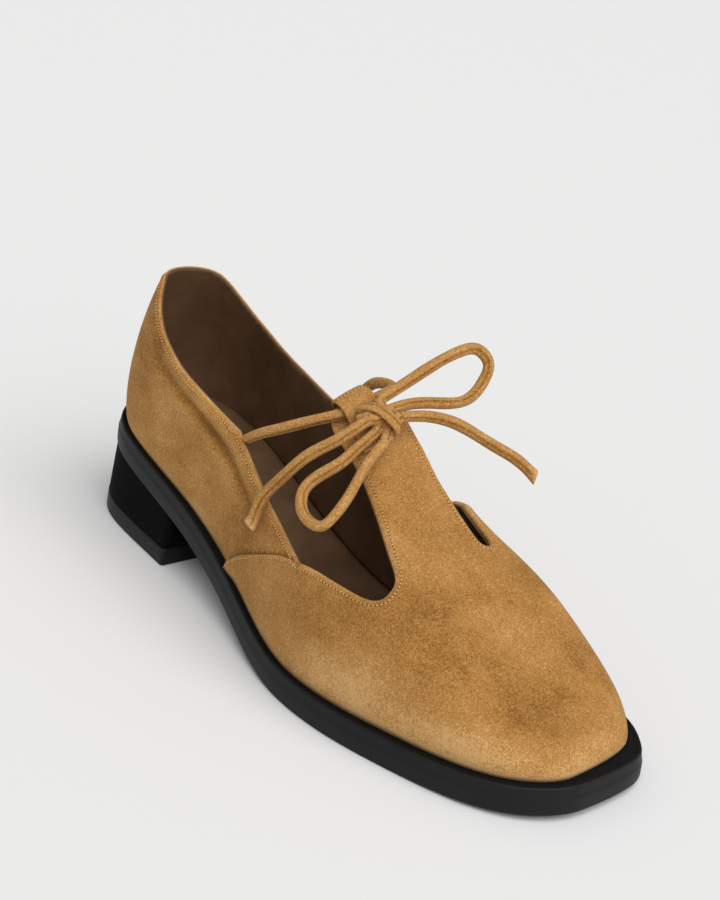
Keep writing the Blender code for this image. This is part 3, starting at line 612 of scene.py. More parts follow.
def make_suede(name, patchy=1.0, grain=1.0):
    """Suede whose patches and grain can be made weaker or stronger."""
    material, shader, place = new_material(name, SUEDE_SHEEN)
    tone, noises = attribute(place, "shade") + 0.5, []
    for scale, detail, roughness, stretch, share, fine in SUEDE_NOISES:
        noises.append(place.noise(scale, detail, roughness, stretch))
        tone = tone + (noises[-1] - 0.5) * (share * (grain if fine else patchy))
    tuft, fibre = noises[2:]
    tone = tone + fibre.stops(0.56, 0.66) * (BRIGHT_TIPS * grain)
    dark_half = tone.stops(0.05, 0.52)
    pale_half = tone.stops(0.48, 1.0)
    colour = pale_half.mixed(dark_half.mixed(SUEDE_DARK, SUEDE_MIDDLE), SUEDE_PALE)
    normal = place.node("ShaderNodeNewGeometry", output=1)
    normal = normal.bump(tuft, *TUFT_BUMP).bump(fibre, *FIBRE_BUMP)
    feed(shader, Base_Color=colour, Normal=normal)
    return material


suede = make_suede("tan_suede")
print("suede between", SUEDE_DARK, "and", SUEDE_PALE)

# %% [markdown]
# ## The other finishes
#
# The lining is smooth brown leather, the sole one black moulding with a faint satin face, the heel a
# dull black covered block, and the stitches a waxed thread a little more orange than the suede. Each
# could be given one flat colour, but nothing real is that even. Their grain is fine, so it goes into
# the bump, and the colour and roughness vary only a little. The top of the welt lies deep under the
# upper's edge, and painted shade makes it blackest there; the mesh carries that shade as an attribute.

# %% Lining, rubber and thread
# nearly black: painted shade on the welt's top under the upper's edge
WELT_SHADE_COLOUR = (0.0012, 0.0012, 0.0012)
PATCH_SCALE = 60


def make_plain(name, colour, other, roughness, gloss, grain_scale, grain_depth):
    """A smooth finish: two near colours in soft patches, with a fine grain in the bump."""
    material, shader, place = new_material(name, {"Roughness": roughness, "Specular IOR Level": gloss})
    patch = place.noise(PATCH_SCALE, 4.0, 0.6)
    grain = place.noise(grain_scale, 3.0, 0.6)
    # where the mesh asks for it, painted shade blackens the colour and roughens it
    painted_welt_shade = attribute(place, "painted_welt_shade")
    feed(shader, Base_Color=painted_welt_shade.mixed(patch.stops(0.3, 0.7).mixed(colour, other), WELT_SHADE_COLOUR),
         Roughness=(patch - 0.5) * 0.18 + (grain - 0.5) * 0.10 + painted_welt_shade * 0.30 + roughness,
         Normal=place.node("ShaderNodeNewGeometry", output=1).bump(grain, 0.5, grain_depth))
    return material


lining_leather = make_plain("lining_leather", (0.105, 0.054, 0.024), (0.150, 0.080, 0.036),
                            0.62, 0.35, 900, 0.12 * MM)
sole_rubber = make_plain("sole_rubber", (0.0058, 0.0058, 0.0061), (0.0086, 0.0086, 0.0090),
                         0.52, 0.24, 1500, 0.03 * MM)
heel_cover = make_plain("heel_cover", (0.0020, 0.0020, 0.0022), (0.0032, 0.0032, 0.0034),
                        0.78, 0.05, 1300, 0.03 * MM)
thread = make_plain("waxed_thread", (0.60, 0.30, 0.080), (0.72, 0.40, 0.130),
                    0.55, 0.4, 4000, 0.05 * MM)
# dark for the needle holes: painted shadow
pinhole_shadow = make_plain("painted_pinhole_shadow", (0.050, 0.022, 0.007), (0.085, 0.038, 0.012),
                     0.9, 0.1, 2000, 0.02 * MM)
print("five plain finishes")

# %% [markdown]
# ## Outsole
#
# The sole is one black rubber moulding: a welt that runs around the upper, a slightly sloped upper edge,
# an upright lower edge, and a flat tread. A bevelled curve gives such a rim quickly, but its profile
# can't follow the heel's seat and the shank. So a profile of rings is set around the outline, with
# enough of them on each corner for the light to roll over it as over a moulded part.

# %% Outsole
SOLE_PROFILE = (
    # how far in from the outline, how far down from the sole's top, in mm
    (9.0, 0.55), (5.0, 0.55), (2.2, 0.50), (1.5, 0.30), (1.05, 0.06), (0.70, 0.0), (0.36, 0.06),
    (0.12, 0.22), (0.0, 0.52), (-0.16, 1.6), (-0.42, 3.0), (-0.60, 3.75), (-0.76, 4.15), (-0.86, 4.6),
    (-0.92, 6.0), (-0.97, 7.8), (-0.99, 9.0), (-0.92, 9.45), (-0.66, 9.78), (-0.25, 9.9), (3.0, 9.9),
    (9.0, 9.9),
)
SOLE_ROUND = 420


def around_sole(count):
    """Turns and sides all the way around the sole, starting at the heel's back."""
    half = even_turns(count // 2 + 1, 0.0)
    turns = np.concatenate([half, half[-2:0:-1]])
    sides = np.concatenate([np.full(len(half), -1), np.full(len(half) - 2, 1)])
    return turns, sides


def edge_around(turns, sides, inset):
    """A ring of points inside the sole's outline."""
    outer, inner = sole_edge(turns, -1, inset)[0], sole_edge(turns, 1, inset)[0]
    return np.where((sides < 0)[:, None], outer, inner)


def make_outsole():
    """The sole from its profile, ring by ring. Its highest, inner rings carry painted shade, as deep under the
    upper's edge.
    """
    turns, sides = around_sole(SOLE_ROUND)
    rings = []
    for inset, drop in SOLE_PROFILE:
        ring = edge_around(turns, sides, np.full(len(turns), inset * MM))
        height = sole_top(from_back(ring)) - drop * MM
        rings.append(np.column_stack([ring, height]))
    # painted shade on the inner rings of the top face, under the upper's edge
    painted_welt_shade = np.repeat([float(inset > 0.5 and drop < 1) for inset, drop in SOLE_PROFILE], len(turns))
    points, faces = stacked(rings)
    return make_piece("moulded_outsole", points, faces, sole_rubber, {"painted_welt_shade": painted_welt_shade}, sharp=50)


fit_on(make_outsole(), "sole_rubber", "outsole")

# %% [markdown]
# ## Heel
#
# The heel is a low block under the seat, a little wider at the floor than at the top. Its back follows
# the sole, its breast is straight, and the two front corners are only just rounded, less on the
# wearing piece. That piece is a separate layer of rubber, so a fine line runs around the block above
# it. A bevelled box could be bent to this form, but stacked rings of the sole's own outline fit at once.

# %% Heel and top piece
def heel_outline(inset, breast_inset, corner):
    """A ring around the heel: the sole's outline cut off at the breast, with rounded front corners."""
    breast_turn = float(turn_at((BREAST_FROM_BACK - corner) / SOLE_LENGTH))
    turns = np.linspace(0.0, breast_turn, 60)
    outer, inner = sole_edge(turns, -1, inset)[0], sole_edge(turns, 1, inset)[0]
    front = SOLE_LENGTH / 2 - BREAST_FROM_BACK + breast_inset
    corners = []
    for side, end in ((-1, outer[-1]), (1, inner[-1])):
        angles = np.radians(np.linspace(9, 90, 10))
        corners.append(np.column_stack([end[0] - side * corner * (1 - np.cos(angles)),
                                        end[1] - (end[1] - front) * np.sin(angles)]))
    return np.concatenate([outer, corners[0], corners[1][::-1], inner[:0:-1]])


def make_block(name, levels, corner, material):
    """A block from rings of the heel's outline. A level is an inset and a height or height function."""
    rings = []
    for inset, breast_inset, height in levels:
        ring = heel_outline(inset, breast_inset, corner)
        z = height(from_back(ring)) if callable(height) else np.full(len(ring), height)
        rings.append(np.column_stack([ring, z]))
    return make_piece(name, *stacked(rings), material, sharp=50)


TOP_INSET = 0.5 * MM - SOLE_FLARE
FLOOR_INSET = -SOLE_FLARE - HEEL_FLARE
SPLIT = TOP_PIECE_HEIGHT / MM
TOP_PIECE_PROFILE = (
    # height at which the flare is taken, how far in from it, how far in at the breast, height, in mm
    (SPLIT, 0.25, 0.25, SPLIT), (SPLIT, -0.10, 0.05, SPLIT - 0.12), (6.6, -0.22, -0.15, 6.5),
    (3.5, -0.12, -0.10, 3.5), (0.0, 0.02, -0.10, 0.9), (0.0, 0.12, 0.0, 0.35), (0.0, 0.55, 0.35, 0.0),
)
BLOCK_LIP = 0.28 * MM


def heel_inset(z):
    """How far in from the sole's outline the heel's side stands at a height, as it flares to the floor."""
    return FLOOR_INSET + (TOP_INSET - FLOOR_INSET) * z / SEAT_HEIGHT


def block_level(share):
    """A level of the block, where share is 0 at the top piece and 1 under the sole."""
    def height(s):
        return (sole_underside(s) - 0.1 * MM) * share + (TOP_PIECE_HEIGHT + 0.5 * MM) * (1 - share)
    return heel_inset(TOP_PIECE_HEIGHT) * (1 - share) + TOP_INSET * share, 0.0, height


block_levels = [(TOP_INSET, 0.0, lambda s: sole_underside(s) + 0.05 * MM)]
block_levels += [block_level(share) for share in (0.97, 0.75, 0.5, 0.25, 0.03)]
block_levels.append((heel_inset(TOP_PIECE_HEIGHT) + BLOCK_LIP, BLOCK_LIP, TOP_PIECE_HEIGHT + 0.1 * MM))
piece_levels = [(heel_inset(flare_at * MM) + inset * MM, breast * MM, z * MM)
                for flare_at, inset, breast, z in TOP_PIECE_PROFILE]
fit_on(make_block("heel_block", block_levels, BLOCK_CORNER, heel_cover), "heel_block", "heel")
top_piece = make_block("heel_top_piece", piece_levels, TOP_PIECE_CORNER, sole_rubber)
fit_on(top_piece, "sole_rubber", "top_piece")

# %% [markdown]
# ## Insole
#
# The footbed is a thin padded sheet of lining leather. It is a little crowned, sinks a little where the
# heel rests, and stays clear of the walls. Cloth simulation could pad it, but it is hardly seen inside
# the shoe, so a grid between the two walls with a rounded rim is enough.

# %% Insole
INSOLE_CLEARANCE = 1.1 * MM
INSOLE_THICKNESS = 2.2 * MM
INSOLE_CROWN = 0.9 * MM
SEAT_DISH = 1.1 * MM
DISH_AT, DISH_REACH = 0.14, 0.09


def make_insole():
    """The footbed: a crowned sheet over a flat one, joined around its border."""
    turns, columns = even_turns(150, 0.004), 33
    outer, inner = (sole_edge(turns, side, welt(turns, side) + WALL + INSOLE_CLEARANCE)[0]
                    for side in (-1, 1))
    share = np.linspace(0, 1, columns)[None, :, None]
    flat = outer[:, None] * (1 - share) + inner[:, None] * share
    rim = np.minimum(np.minimum(share, 1 - share)[..., 0] * 14, 1)
    along = from_back(flat) / SOLE_LENGTH
    dish = SEAT_DISH * np.exp(-((along - DISH_AT) / DISH_REACH)**2) * np.sin(math.pi * share[..., 0])**2
    crown = INSOLE_CROWN * np.sqrt(1 - (1 - rim)**2)
    floor_level = sole_top(from_back(flat))
    sheets = (floor_level + GAP + INSOLE_THICKNESS + crown - dish, floor_level + 0.2 * MM)
    rows = len(turns)
    points = np.concatenate([np.dstack([flat, z]).reshape(-1, 3) for z in sheets])
    index = np.arange(rows * columns).reshape(rows, columns)
    border = np.concatenate([index[:, 0], index[-1, 1:], index[-2::-1, -1], index[0, -2:0:-1]])
    after = np.roll(border, -1)
    under = rows * columns
    skirt = np.stack([border, after, after + under, border + under], axis=-1)
    faces = [grid_faces(rows, columns, flip=True), grid_faces(rows, columns, start=under), skirt]
    return make_piece("padded_insole", points, faces, lining_leather, sharp=60)


fit_on(make_insole(), "lining", "insole")

# %% [markdown]
# ## Cutting the upper
#
# The upper is cut from flat hide and pulled over the last. In Blender it could be one subdivided cage
# with a solidify modifier, but the openings and seams would then run across its squares. So it is cut
# like a real pattern: each rib of the last is laid out flat from the crest, the edges and seams are
# drawn on that flat sheet, and the sheet is filled with triangles. Every corner of a triangle knows
# its place on the last, so the flat sheet can then be put back over it.

# %% Laying the ribs flat
def flat_layout(turn, around):
    """Each rib laid out flat from the crest."""
    turn, around = np.broadcast_arrays(np.asarray(turn, float), np.asarray(around, float))
    side = np.where(around < 0, -1, 1)
    flat = np.zeros(turn.shape + (2,))
    for s in (-1, 1):
        rib = np.stack([rib_points(turn, np.full(turn.shape, u), s) for u in np.linspace(0, 1, 9)])
        out = rib[0][..., :2] - rib[-1][..., :2]
        out /= np.linalg.norm(out, axis=-1)[..., None]
        length = np.linalg.norm(np.diff(rib, axis=0), axis=-1).sum(axis=0)
        here = rib[-1][..., :2] + out * (length * np.abs(around))[..., None]
        flat = np.where((side == s)[..., None], here, flat)
    return flat


def inside_polygon(points, polygon):
    """True for each point inside a closed chain of points."""
    x, y = points[:, 0], points[:, 1]
    within = np.zeros(len(points), bool)
    for (x0, y0), (x1, y1) in zip(polygon, np.roll(polygon, -1, axis=0)):
        if y0 != y1:
            crosses = (y0 > y) != (y1 > y)
            within ^= crosses & (x < x0 + (x1 - x0) * (y - y0) / (y1 - y0))
    return within


def distance_to_line(points, line):
    """The shortest distance from each point to a chain of points."""
    best = np.full(len(points), np.inf)
    for a, b in zip(line[:-1], line[1:]):
        run = b - a
        share = np.clip(((points - a) @ run) / max(run @ run, 1e-12), 0, 1)
        best = np.minimum(best, np.linalg.norm(points - a - share[:, None] * run, axis=1))
    return best


print("the pattern is", round(float(np.ptp(flat_layout(0.5, np.linspace(-1, 1, 21))[:, 0])) / MM), "mm wide")

# %% Cutting the pattern
FINE = 1.5 * MM
UPPER_RIBS = 200
UPPER_LEVELS = 58
SEAM_STEPS = (0.0, 0.10 * MM, 0.30 * MM, 0.60 * MM, 1.1 * MM)


def cut_pattern():
    """Places on the last and triangles of the whole upper, its lower edge first."""
    turns = even_turns(UPPER_RIBS)
    lower = np.concatenate([np.column_stack([turns, np.full(UPPER_RIBS, -1.0)]),
                            np.column_stack([turns[-2:0:-1], np.full(UPPER_RIBS - 2, 1.0)])])
    opening = opening_line(FINE)
    seam_lines = []
    for rows, sign in ((SEAM_OUTER, -1), (SEAM_INNER, 1)):
        line = edge_line(rows, FINE)
        for step in SEAM_STEPS:
            seam_lines.append(stepped_aside(line, sign * step)[2:-2])
    arounds = np.linspace(-1, 1, 2 * UPPER_LEVELS + 1)[1:-1]
    t, a = np.meshgrid(turns, arounds, indexing="ij")
    grid = np.column_stack([t.ravel(), a.ravel()])
    grid = grid[(grid[:, 1] <= 0) | ((grid[:, 0] > 0) & (grid[:, 0] < 1))]
    flat, flat_opening = flat_layout(*grid.T), flat_layout(*opening.T)
    flat_lower = flat_layout(*lower.T)
    clear = ~inside_polygon(flat, flat_opening)
    closed_lines = [np.vstack([line, line[:1]]) for line in (flat_opening, flat_lower)]
    for line in closed_lines + [flat_layout(*seam.T) for seam in seam_lines]:
        clear &= distance_to_line(flat, line) > 0.42 * FINE
    grid = grid[clear]
    chains, edges, count = [lower, opening] + seam_lines, [], 0
    for number, chain in enumerate(chains):
        links = len(chain) if number < 2 else len(chain) - 1
        edges += [(count + i, count + (i + 1) % len(chain)) for i in range(links)]
        count += len(chain)
    places = np.concatenate(chains + [grid])
    flat = flat_layout(*places.T)
    result = delaunay_2d_cdt([Vector(p) for p in flat / MM], edges, [], 0, 1e-6)
    if len(result[0]) != len(places):
        print("the pattern's lines cross:", len(result[0]), len(places))
    kept = np.array([source[0] if source else -1 for source in result[3]])
    triangles = kept[np.array(result[2])]
    triangles = triangles[(triangles >= 0).all(axis=1)]
    centres = flat[triangles].mean(axis=1)
    good = inside_polygon(centres, flat_lower) & ~inside_polygon(centres, flat_opening)
    return places, triangles[good], len(lower), opening


places, triangles, lower_count, opening_places = cut_pattern()
surface, outward = last_points(*places.T), last_normals(*places.T)
print("the pattern has", len(places), "places and", len(triangles), "triangles")

# %% [markdown]
# ## Distances on the upper
#
# Most of the upper's detail lies a given distance from an edge or a seam: the rolled edge, the stitch
# groove, the pale rim over the sole. It could be painted by hand as weights. Measured distances are
# just as easy to use and stay right when a line is moved, so each is worked out once.

# %% Distances
def real_distance(line_places, closed=False):
    """The distance from each place of the pattern to a line, in metres on the last."""
    line = last_points(*line_places.T)
    if closed:
        line = np.vstack([line, line[:1]])
    return distance_to_line(surface, line)


to_opening = real_distance(opening_places, closed=True)
to_lower = real_distance(places[:lower_count], closed=True)
seam_places = [edge_line(SEAM_OUTER, FINE), edge_line(SEAM_INNER, FINE)]
to_seam = np.minimum(*[real_distance(line) for line in seam_places])
print("widest part of the upper lies", round(to_opening.max() / MM), "mm from the opening")

# %% Vamp or quarter
def ahead_of_seam():
    """True where a place belongs to the vamp, which lies over the quarters."""
    ahead = np.ones(len(places), bool)
    for line, side in zip(seam_places, (-1, 1)):
        around = np.abs(line[:, 1])[::-1]
        limit = np.interp(np.abs(places[:, 1]), around, line[::-1, 0], left=line[-1, 0], right=line[0, 0])
        behind = (places[:, 0] <= limit + 1e-6) & (np.sign(places[:, 1]) == side)
        below = np.abs(places[:, 1]) >= around[0] - 0.02
        ahead[behind & (below | (places[:, 0] < line[0, 0]))] = False
    return ahead


on_vamp = ahead_of_seam()
print(int(on_vamp.sum()), "places lie on the vamp")

# %% [markdown]
# ## Creases and patches
#
# A worn-in shoe is not the bare last: the quarter has a soft trough where it bends under the topline,
# and the vamp has a few shallow waves. They could be sculpted with a brush. Here each crease is a short
# line on the last with a width and a depth, and each pale or dark patch of the nap is a soft spot on
# it, because a row of numbers can be compared with the photograph and corrected.
# The pale patches low on the outer vamp hold some painted light thrown up from the floor, as well as pale nap.
# The shade of a crease is painted: darker in a trough, paler as a highlight on a ridge.

# %% Tables of creases and patches
CREASES = (
    # route of (along, around) places, half width mm, depth mm (negative stands up), painted shade (a painted
    # highlight where positive)
    (((0.120, -0.610), (0.170, -0.660), (0.225, -0.688), (0.280, -0.700), (0.340, -0.712), (0.400, -0.745),
      (0.465, -0.780)), 2.1, 1.80, -0.42),
    (((0.180, -0.640), (0.240, -0.655), (0.300, -0.662), (0.352, -0.668), (0.410, -0.708)), 1.7, -0.95, 0.18),
    (((0.372, -0.990), (0.386, -0.950), (0.394, -0.900)), 2.0, 0.70, -0.12),
    (((0.430, -0.985), (0.448, -0.940), (0.468, -0.905)), 2.4, 0.50, -0.06),
    (((0.070, -0.640), (0.095, -0.740), (0.130, -0.820)), 7.0, 0.80, -0.10),
    (((0.230, -0.860), (0.300, -0.850), (0.370, -0.840)), 6.0, 0.60, -0.06),
    (((0.640, -0.700), (0.700, -0.690), (0.745, -0.600)), 4.0, 0.45, -0.05),
    (((0.760, -0.450), (0.800, -0.250), (0.800, 0.000)), 6.0, 0.40, -0.05),
    (((0.600, -0.880), (0.660, -0.870), (0.720, -0.860)), 7.0, -0.40, 0.05),
)
PATCHES = (
    # along, around, half length mm, half width mm, shade
    (0.761, -0.542, 20, 15, -0.11),
    (0.830, -0.520, 20, 14, -0.10),
    (0.765, -0.250, 14, 14, -0.05),
    (0.930, -0.010, 17, 13, -0.03),
    # pale low on the outer vamp: pale nap, and painted light thrown up from the floor
    (0.708, -0.930, 30, 8, 0.17),
    (0.908, -0.880, 24, 7, 0.22),
    (0.850, -0.910, 26, 7, 0.16),
    (0.980, 0.389, 16, 20, -0.10),
    (0.940, -0.450, 16, 12, -0.06),
    (0.998, 0.690, 12, 5, 0.04),
    (0.671, -0.760, 20, 10, -0.09),
    (0.530, -0.800, 12, 9, 0.06),
    (0.181, -0.880, 16, 11, 0.06),
    (0.301, -0.760, 20, 9, -0.07),
    (0.417, -0.829, 16, 13, -0.11),
    (0.080, -0.600, 18, 18, -0.16),
    (0.950, 0.200, 20, 18, -0.09),
    (0.997, -0.400, 15, 22, -0.12),
    (0.760, 0.450, 24, 14, -0.08),
    (0.300, 0.800, 30, 12, 0.07),
    (0.450, 0.850, 18, 12, -0.08),
)
print(len(CREASES), "creases and", len(PATCHES), "patches")

# %% Forms of creases and patches
CREASE_SOFT_ENDS = 0.6


def fading(distance, amount, reach):
    """An amount on a line that fades out beside it."""
    return amount * np.exp(-(distance / reach)**2)


def crease_forms():
    """The depth of all creases at each place, and the shade painted into their troughs and the highlight painted
    onto their ridges.
    """
    depth, tone = np.zeros(len(places)), np.zeros(len(places))
    for route, width, deep, level in CREASES:
        rows = np.array(route)
        line = smooth_line(np.column_stack([turn_at(rows[:, 0]), rows[:, 1]]), 40)
        path = last_points(*line.T)
        distance = distance_to_line(surface, path)
        run = np.linalg.norm(path[-1] - path[0])
        share = np.clip(((surface - path[0]) @ (path[-1] - path[0])) / run**2, 0, 1)
        ends = np.sin(math.pi * np.clip(share, 0.04, 0.96))**CREASE_SOFT_ENDS
        form = fading(distance, 1, width * MM) * ends
        depth += deep * MM * form
        tone += level * form
    return depth, tone


def patch_shade():
    """How much paler or darker the suede is at each place, from the table of patches: the nap, and low on the outer
    vamp also painted light.
    """
    shade = np.zeros(len(places))
    for along, around, long_half, wide_half, level in PATCHES:
        centre = over_last(along, around, 0.0)
        lengthwise, crosswise = last_slopes(turn_at(along), around)
        lengthwise /= np.linalg.norm(lengthwise)
        crosswise /= np.linalg.norm(crosswise)
        away = surface - centre
        run, across = away @ lengthwise / (long_half * MM), away @ crosswise / (wide_half * MM)
        shade += level * np.exp(-run**2 - across**2)
    return shade


creases, crease_shade = crease_forms()
shade = patch_shade() + crease_shade
print("deepest crease", round(creases.max() / MM, 2), "mm")

# %% Shade along edges and seams
# a pair is how strong the shade is on the line, and how far it reaches
# the rim over the sole: pale nap, and partly painted light thrown up from the floor
SOLE_RIM = ((0.46, 1.4 * MM), (0.10, 6.0 * MM))
OPENING_RIM = (0.20, 0.8 * MM)
LAP_PALE = (0.20, 0.8 * MM)
LAP_PALE_AT = 0.6 * MM
SEAM_SHADOW = (0.50, 0.55 * MM)
shade += sum(fading(to_lower, *rim) for rim in SOLE_RIM) + fading(to_opening, *OPENING_RIM)
shade += np.where(on_vamp, fading(to_seam - LAP_PALE_AT, *LAP_PALE), -fading(to_seam, *SEAM_SHADOW))
print("the nap's shade runs from", shade.min().round(2), "to", shade.max().round(2))

# %% [markdown]
# ## The suede skin and its lining
#
# The skin stands over the lining and ends in a rolled edge around the opening. The vamp's wings lie
# over the quarters, so the skin steps up by the thickness of the hide at the seams. At the sole it
# turns under a little. The lining is its own thin sheet inside, and ends just below the edge. A
# solidify modifier gives one even thickness, while here each place has its own height over the last.

# %% Heights of the skin
# a pair is how high or deep a form is on its line, and how far it reaches
SKIN = 1.3 * MM
EDGE_ROLL = 0.6 * MM
TUCK = 1.6 * MM
TUCK_DEPTH = 0.4 * MM
LAP_ROUND = 0.45 * MM
LAP_SWELL = (0.35 * MM, 0.8 * MM)
LAP_SWELL_AT = 0.5 * MM
SEAM_GROOVE = (0.35 * MM, 0.9 * MM)
STITCH_ROW = 1.9 * MM
ROW_GROOVE = (0.12 * MM, 0.45 * MM)
WING_TIP = 1.1 * MM
WING_TIP_REACH = (6 * MM, 4 * MM)
LINING_GAP = 0.05 * MM
CREASES_INSIDE = 0.8
SKIN_OVER_SOLE = -0.35 * MM
LINING_OVER_SOLE = 0.1 * MM


def skin_height():
    """The skin's height over the last without creases: the lap, the seam's groove and the rolled edge."""
    step = np.where(on_vamp, np.clip(to_seam / LAP_ROUND, 0, 1), 0.0)
    lap = VAMP_LAP * np.sqrt(1 - (1 - step)**2)
    lap += np.where(on_vamp, fading(to_seam - LAP_SWELL_AT, *LAP_SWELL) * step, 0.0)
    groove = np.where(~on_vamp, fading(to_seam, *SEAM_GROOVE), 0.0)
    roll = np.clip(to_opening / EDGE_ROLL, 0, 1)
    return lap - groove - EDGE_ROLL * (1 - np.sqrt(1 - (1 - roll)**2))


tuck = np.clip(1 - to_lower / TUCK, 0, 1)**2 * TUCK_DEPTH
row_groove = fading(to_opening - STITCH_ROW, *ROW_GROOVE)
wing_tip = fading(to_seam, 1, WING_TIP_REACH[0]) * fading(to_lower, 1, WING_TIP_REACH[1]) * on_vamp
height = skin_height() - creases - row_groove - tuck * (1 - wing_tip) + WING_TIP * wing_tip
print("the skin stands", round(height.max() / MM, 2), "mm over the last at most")

# %% Skin and lining
def closed_sheet(name, outer, inner, material, **attributes):
    """A closed mesh of two sheets of the pattern joined along all their edges."""
    n = len(outer)
    directed = np.concatenate([triangles[:, [0, 1]], triangles[:, [1, 2]], triangles[:, [2, 0]]])
    keys = set(map(tuple, directed.tolist()))
    rim = np.array([(b, a, a + n, b + n) for a, b in keys if (b, a) not in keys])
    faces = [triangles, triangles[:, ::-1] + n, rim]
    doubled = {key: np.concatenate([values, values]) for key, values in attributes.items()}
    return make_piece(name, np.concatenate([outer, inner]), faces, material, doubled)


def inside_last(depth):
    """A sheet of the pattern that far inside the last, where the creases are less deep."""
    return surface - outward * (depth + creases * CREASES_INSIDE)[:, None]


def set_on_sole(sheet, over):
    """The same sheet with its lower edge that far over the sole's top."""
    edge = sheet[:lower_count]
    edge[:, 2] = sole_top(from_back(edge)) + over
    return sheet


upper_sheets = [set_on_sole(sheet, SKIN_OVER_SOLE)
                for sheet in (surface + outward * height[:, None], inside_last(SKIN))]
fit_on(closed_sheet("suede_upper", *upper_sheets, suede, shade=shade), "suede", "upper")
lining_sheets = [set_on_sole(inside_last(depth), LINING_OVER_SOLE) for depth in (SKIN + LINING_GAP, WALL)]
fit_on(closed_sheet("upper_lining", *lining_sheets, lining_leather), "lining")

# %% [markdown]
# ## Stitches
#
# A row of stitches runs just inside every edge, with a pinhole between each two. A stitch is a short
# waxed thread that dips into the hide at both ends, and a pinhole is the same small form pressed flat
# and coloured dark, as painted shadow in the needle's hole.
# An array along a curve could repeat them, but would float over the hide or sink into it. Here each is
# set on the skin by the places around it, so that it follows the skin's height.

# %% A stitch
PITCH = 1.45 * MM
THREAD = (0.50 * MM, 0.24 * MM, 0.24 * MM)
HOLE = (0.26 * MM, 0.24 * MM, 0.07 * MM)


def bead_form():
    """A short rounded rod of half length 1 and radius 1, as points and faces."""
    spots = np.array([-1.0, -0.88, -0.5, 0.5, 0.88, 1.0])
    radii = np.array([0.25, 0.75, 1.0, 1.0, 0.75, 0.25])
    angles = np.linspace(0, 2 * math.pi, 7)[:-1]
    x, a = np.meshgrid(spots, angles, indexing="ij")
    r = np.repeat(radii[:, None], 6, axis=1)
    points = np.stack([x, r * np.cos(a), r * np.sin(a)], axis=-1).reshape(-1, 3)
    return points, [grid_faces(6, 6, around=True), np.arange(6)[None, ::-1], np.arange(30, 36)[None]]


def make_beads(name, centres, runs, normals, form, material):
    """One mesh of many stitches or pinholes, each along its run and over its normal."""
    half_length, half_width, half_height = form
    points, faces = bead_form()
    across = np.cross(normals, runs)
    rise = points[:, 2] * half_height - 0.35 * half_height * points[:, 0]**2
    placed = (centres[:, None] + points[None, :, 0, None] * half_length * runs[:, None]
              + points[None, :, 1, None] * half_width * across[:, None]
              + rise[None, :, None] * normals[:, None])
    starts = np.arange(len(centres)) * len(points)
    many = [(starts[:, None, None] + f[None]).reshape(-1, f.shape[1]) for f in faces]
    return make_piece(name, placed.reshape(-1, 3), many, material)


print("a stitch has", len(bead_form()[0]), "points")

# %% Height of the skin beside a point
skin_tree = KDTree(len(surface))
for number, point in enumerate(surface):
    skin_tree.insert(point, number)
skin_tree.balance()


def height_near(points):
    """The skin's height over the last beside each point, from its three nearest places."""
    found = []
    for point in points:
        near = skin_tree.find_n(point, 3)
        weight = np.array([1 / (distance + 0.1 * MM) for _, _, distance in near])
        found.append((height[[number for _, number, _ in near]] * weight).sum() / weight.sum())
    return np.array(found)


print("a place on the vamp stands over the last by", (height_near([over_last(0.8, -0.4, 0.0)]) / MM).round(2), "mm")

# %% Stitch rows
SEAM_ROW = 1.35 * MM
ROW_STEP = 0.8 * MM
ROW_CLEARANCE = 0.12 * MM
THREAD_LIFT = 0.05 * MM


def row_beside(line, distance):
    """Places of a stitch row beside a line, half a pitch apart, without those crowded at corners."""
    fine = respaced(stepped_aside(line, distance), PITCH / 6)
    away = distance_to_line(last_points(*fine.T), last_points(*line.T))
    kept = fine[away > abs(distance) - ROW_CLEARANCE]
    run = np.linalg.norm(np.diff(last_points(*kept.T), axis=0), axis=1)
    length = np.concatenate([[0], np.cumsum(run)])
    even = np.arange(0, length[-1], PITCH / 2)
    return np.stack([np.interp(even, length, c) for c in kept.T], axis=-1)


def inner_side(line):
    """The sign that steps a line of the opening towards the hide."""
    middle = len(line) // 3
    piece = line[middle - 2:middle + 3]
    moved = stepped_aside(piece, 1.0 * MM)[2:3]
    return -1 if inside_polygon(flat_layout(*moved.T), flat_layout(*opening_places.T))[0] else 1


opening_fine = opening_line(ROW_STEP)
rows = [row_beside(opening_fine, inner_side(opening_fine) * STITCH_ROW)]
for seam, sign in ((SEAM_OUTER, -1), (SEAM_INNER, 1)):
    rows.append(row_beside(edge_line(seam, ROW_STEP), sign * SEAM_ROW)[3:-3])
centres, runs, normals = [], [], []
for row in rows:
    points = last_points(*row.T)
    run = np.gradient(points, axis=0)
    centres.append(points)
    runs.append(run / np.linalg.norm(run, axis=1)[:, None])
    normals.append(last_normals(*row.T))
centres, runs, normals = (np.concatenate(part) for part in (centres, runs, normals))
centres = centres + normals * height_near(centres)[:, None]
on_skin = centres[::2] + normals[::2] * THREAD_LIFT
stitches = make_beads("edge_stitches", on_skin, runs[::2], normals[::2], THREAD, thread)
# flat dark beads between the stitches: painted shadow of the needle holes
pinhole_shadows = make_beads("edge_pinhole_shadows", centres[1::2], runs[1::2], normals[1::2], HOLE, pinhole_shadow)
for piece in (stitches, pinhole_shadows):
    fit_on(piece, "suede")

# %% [markdown]
# ## Lace tab
#
# A strip of suede is folded over the strap's top to make a tunnel for the lace, and stitched down below
# it. Its two cut sides are rounded a little. A bevelled curve gives a strip too, but a straight one: this
# one has to lean and widen with the last, so its profile is set at many places across the strap.

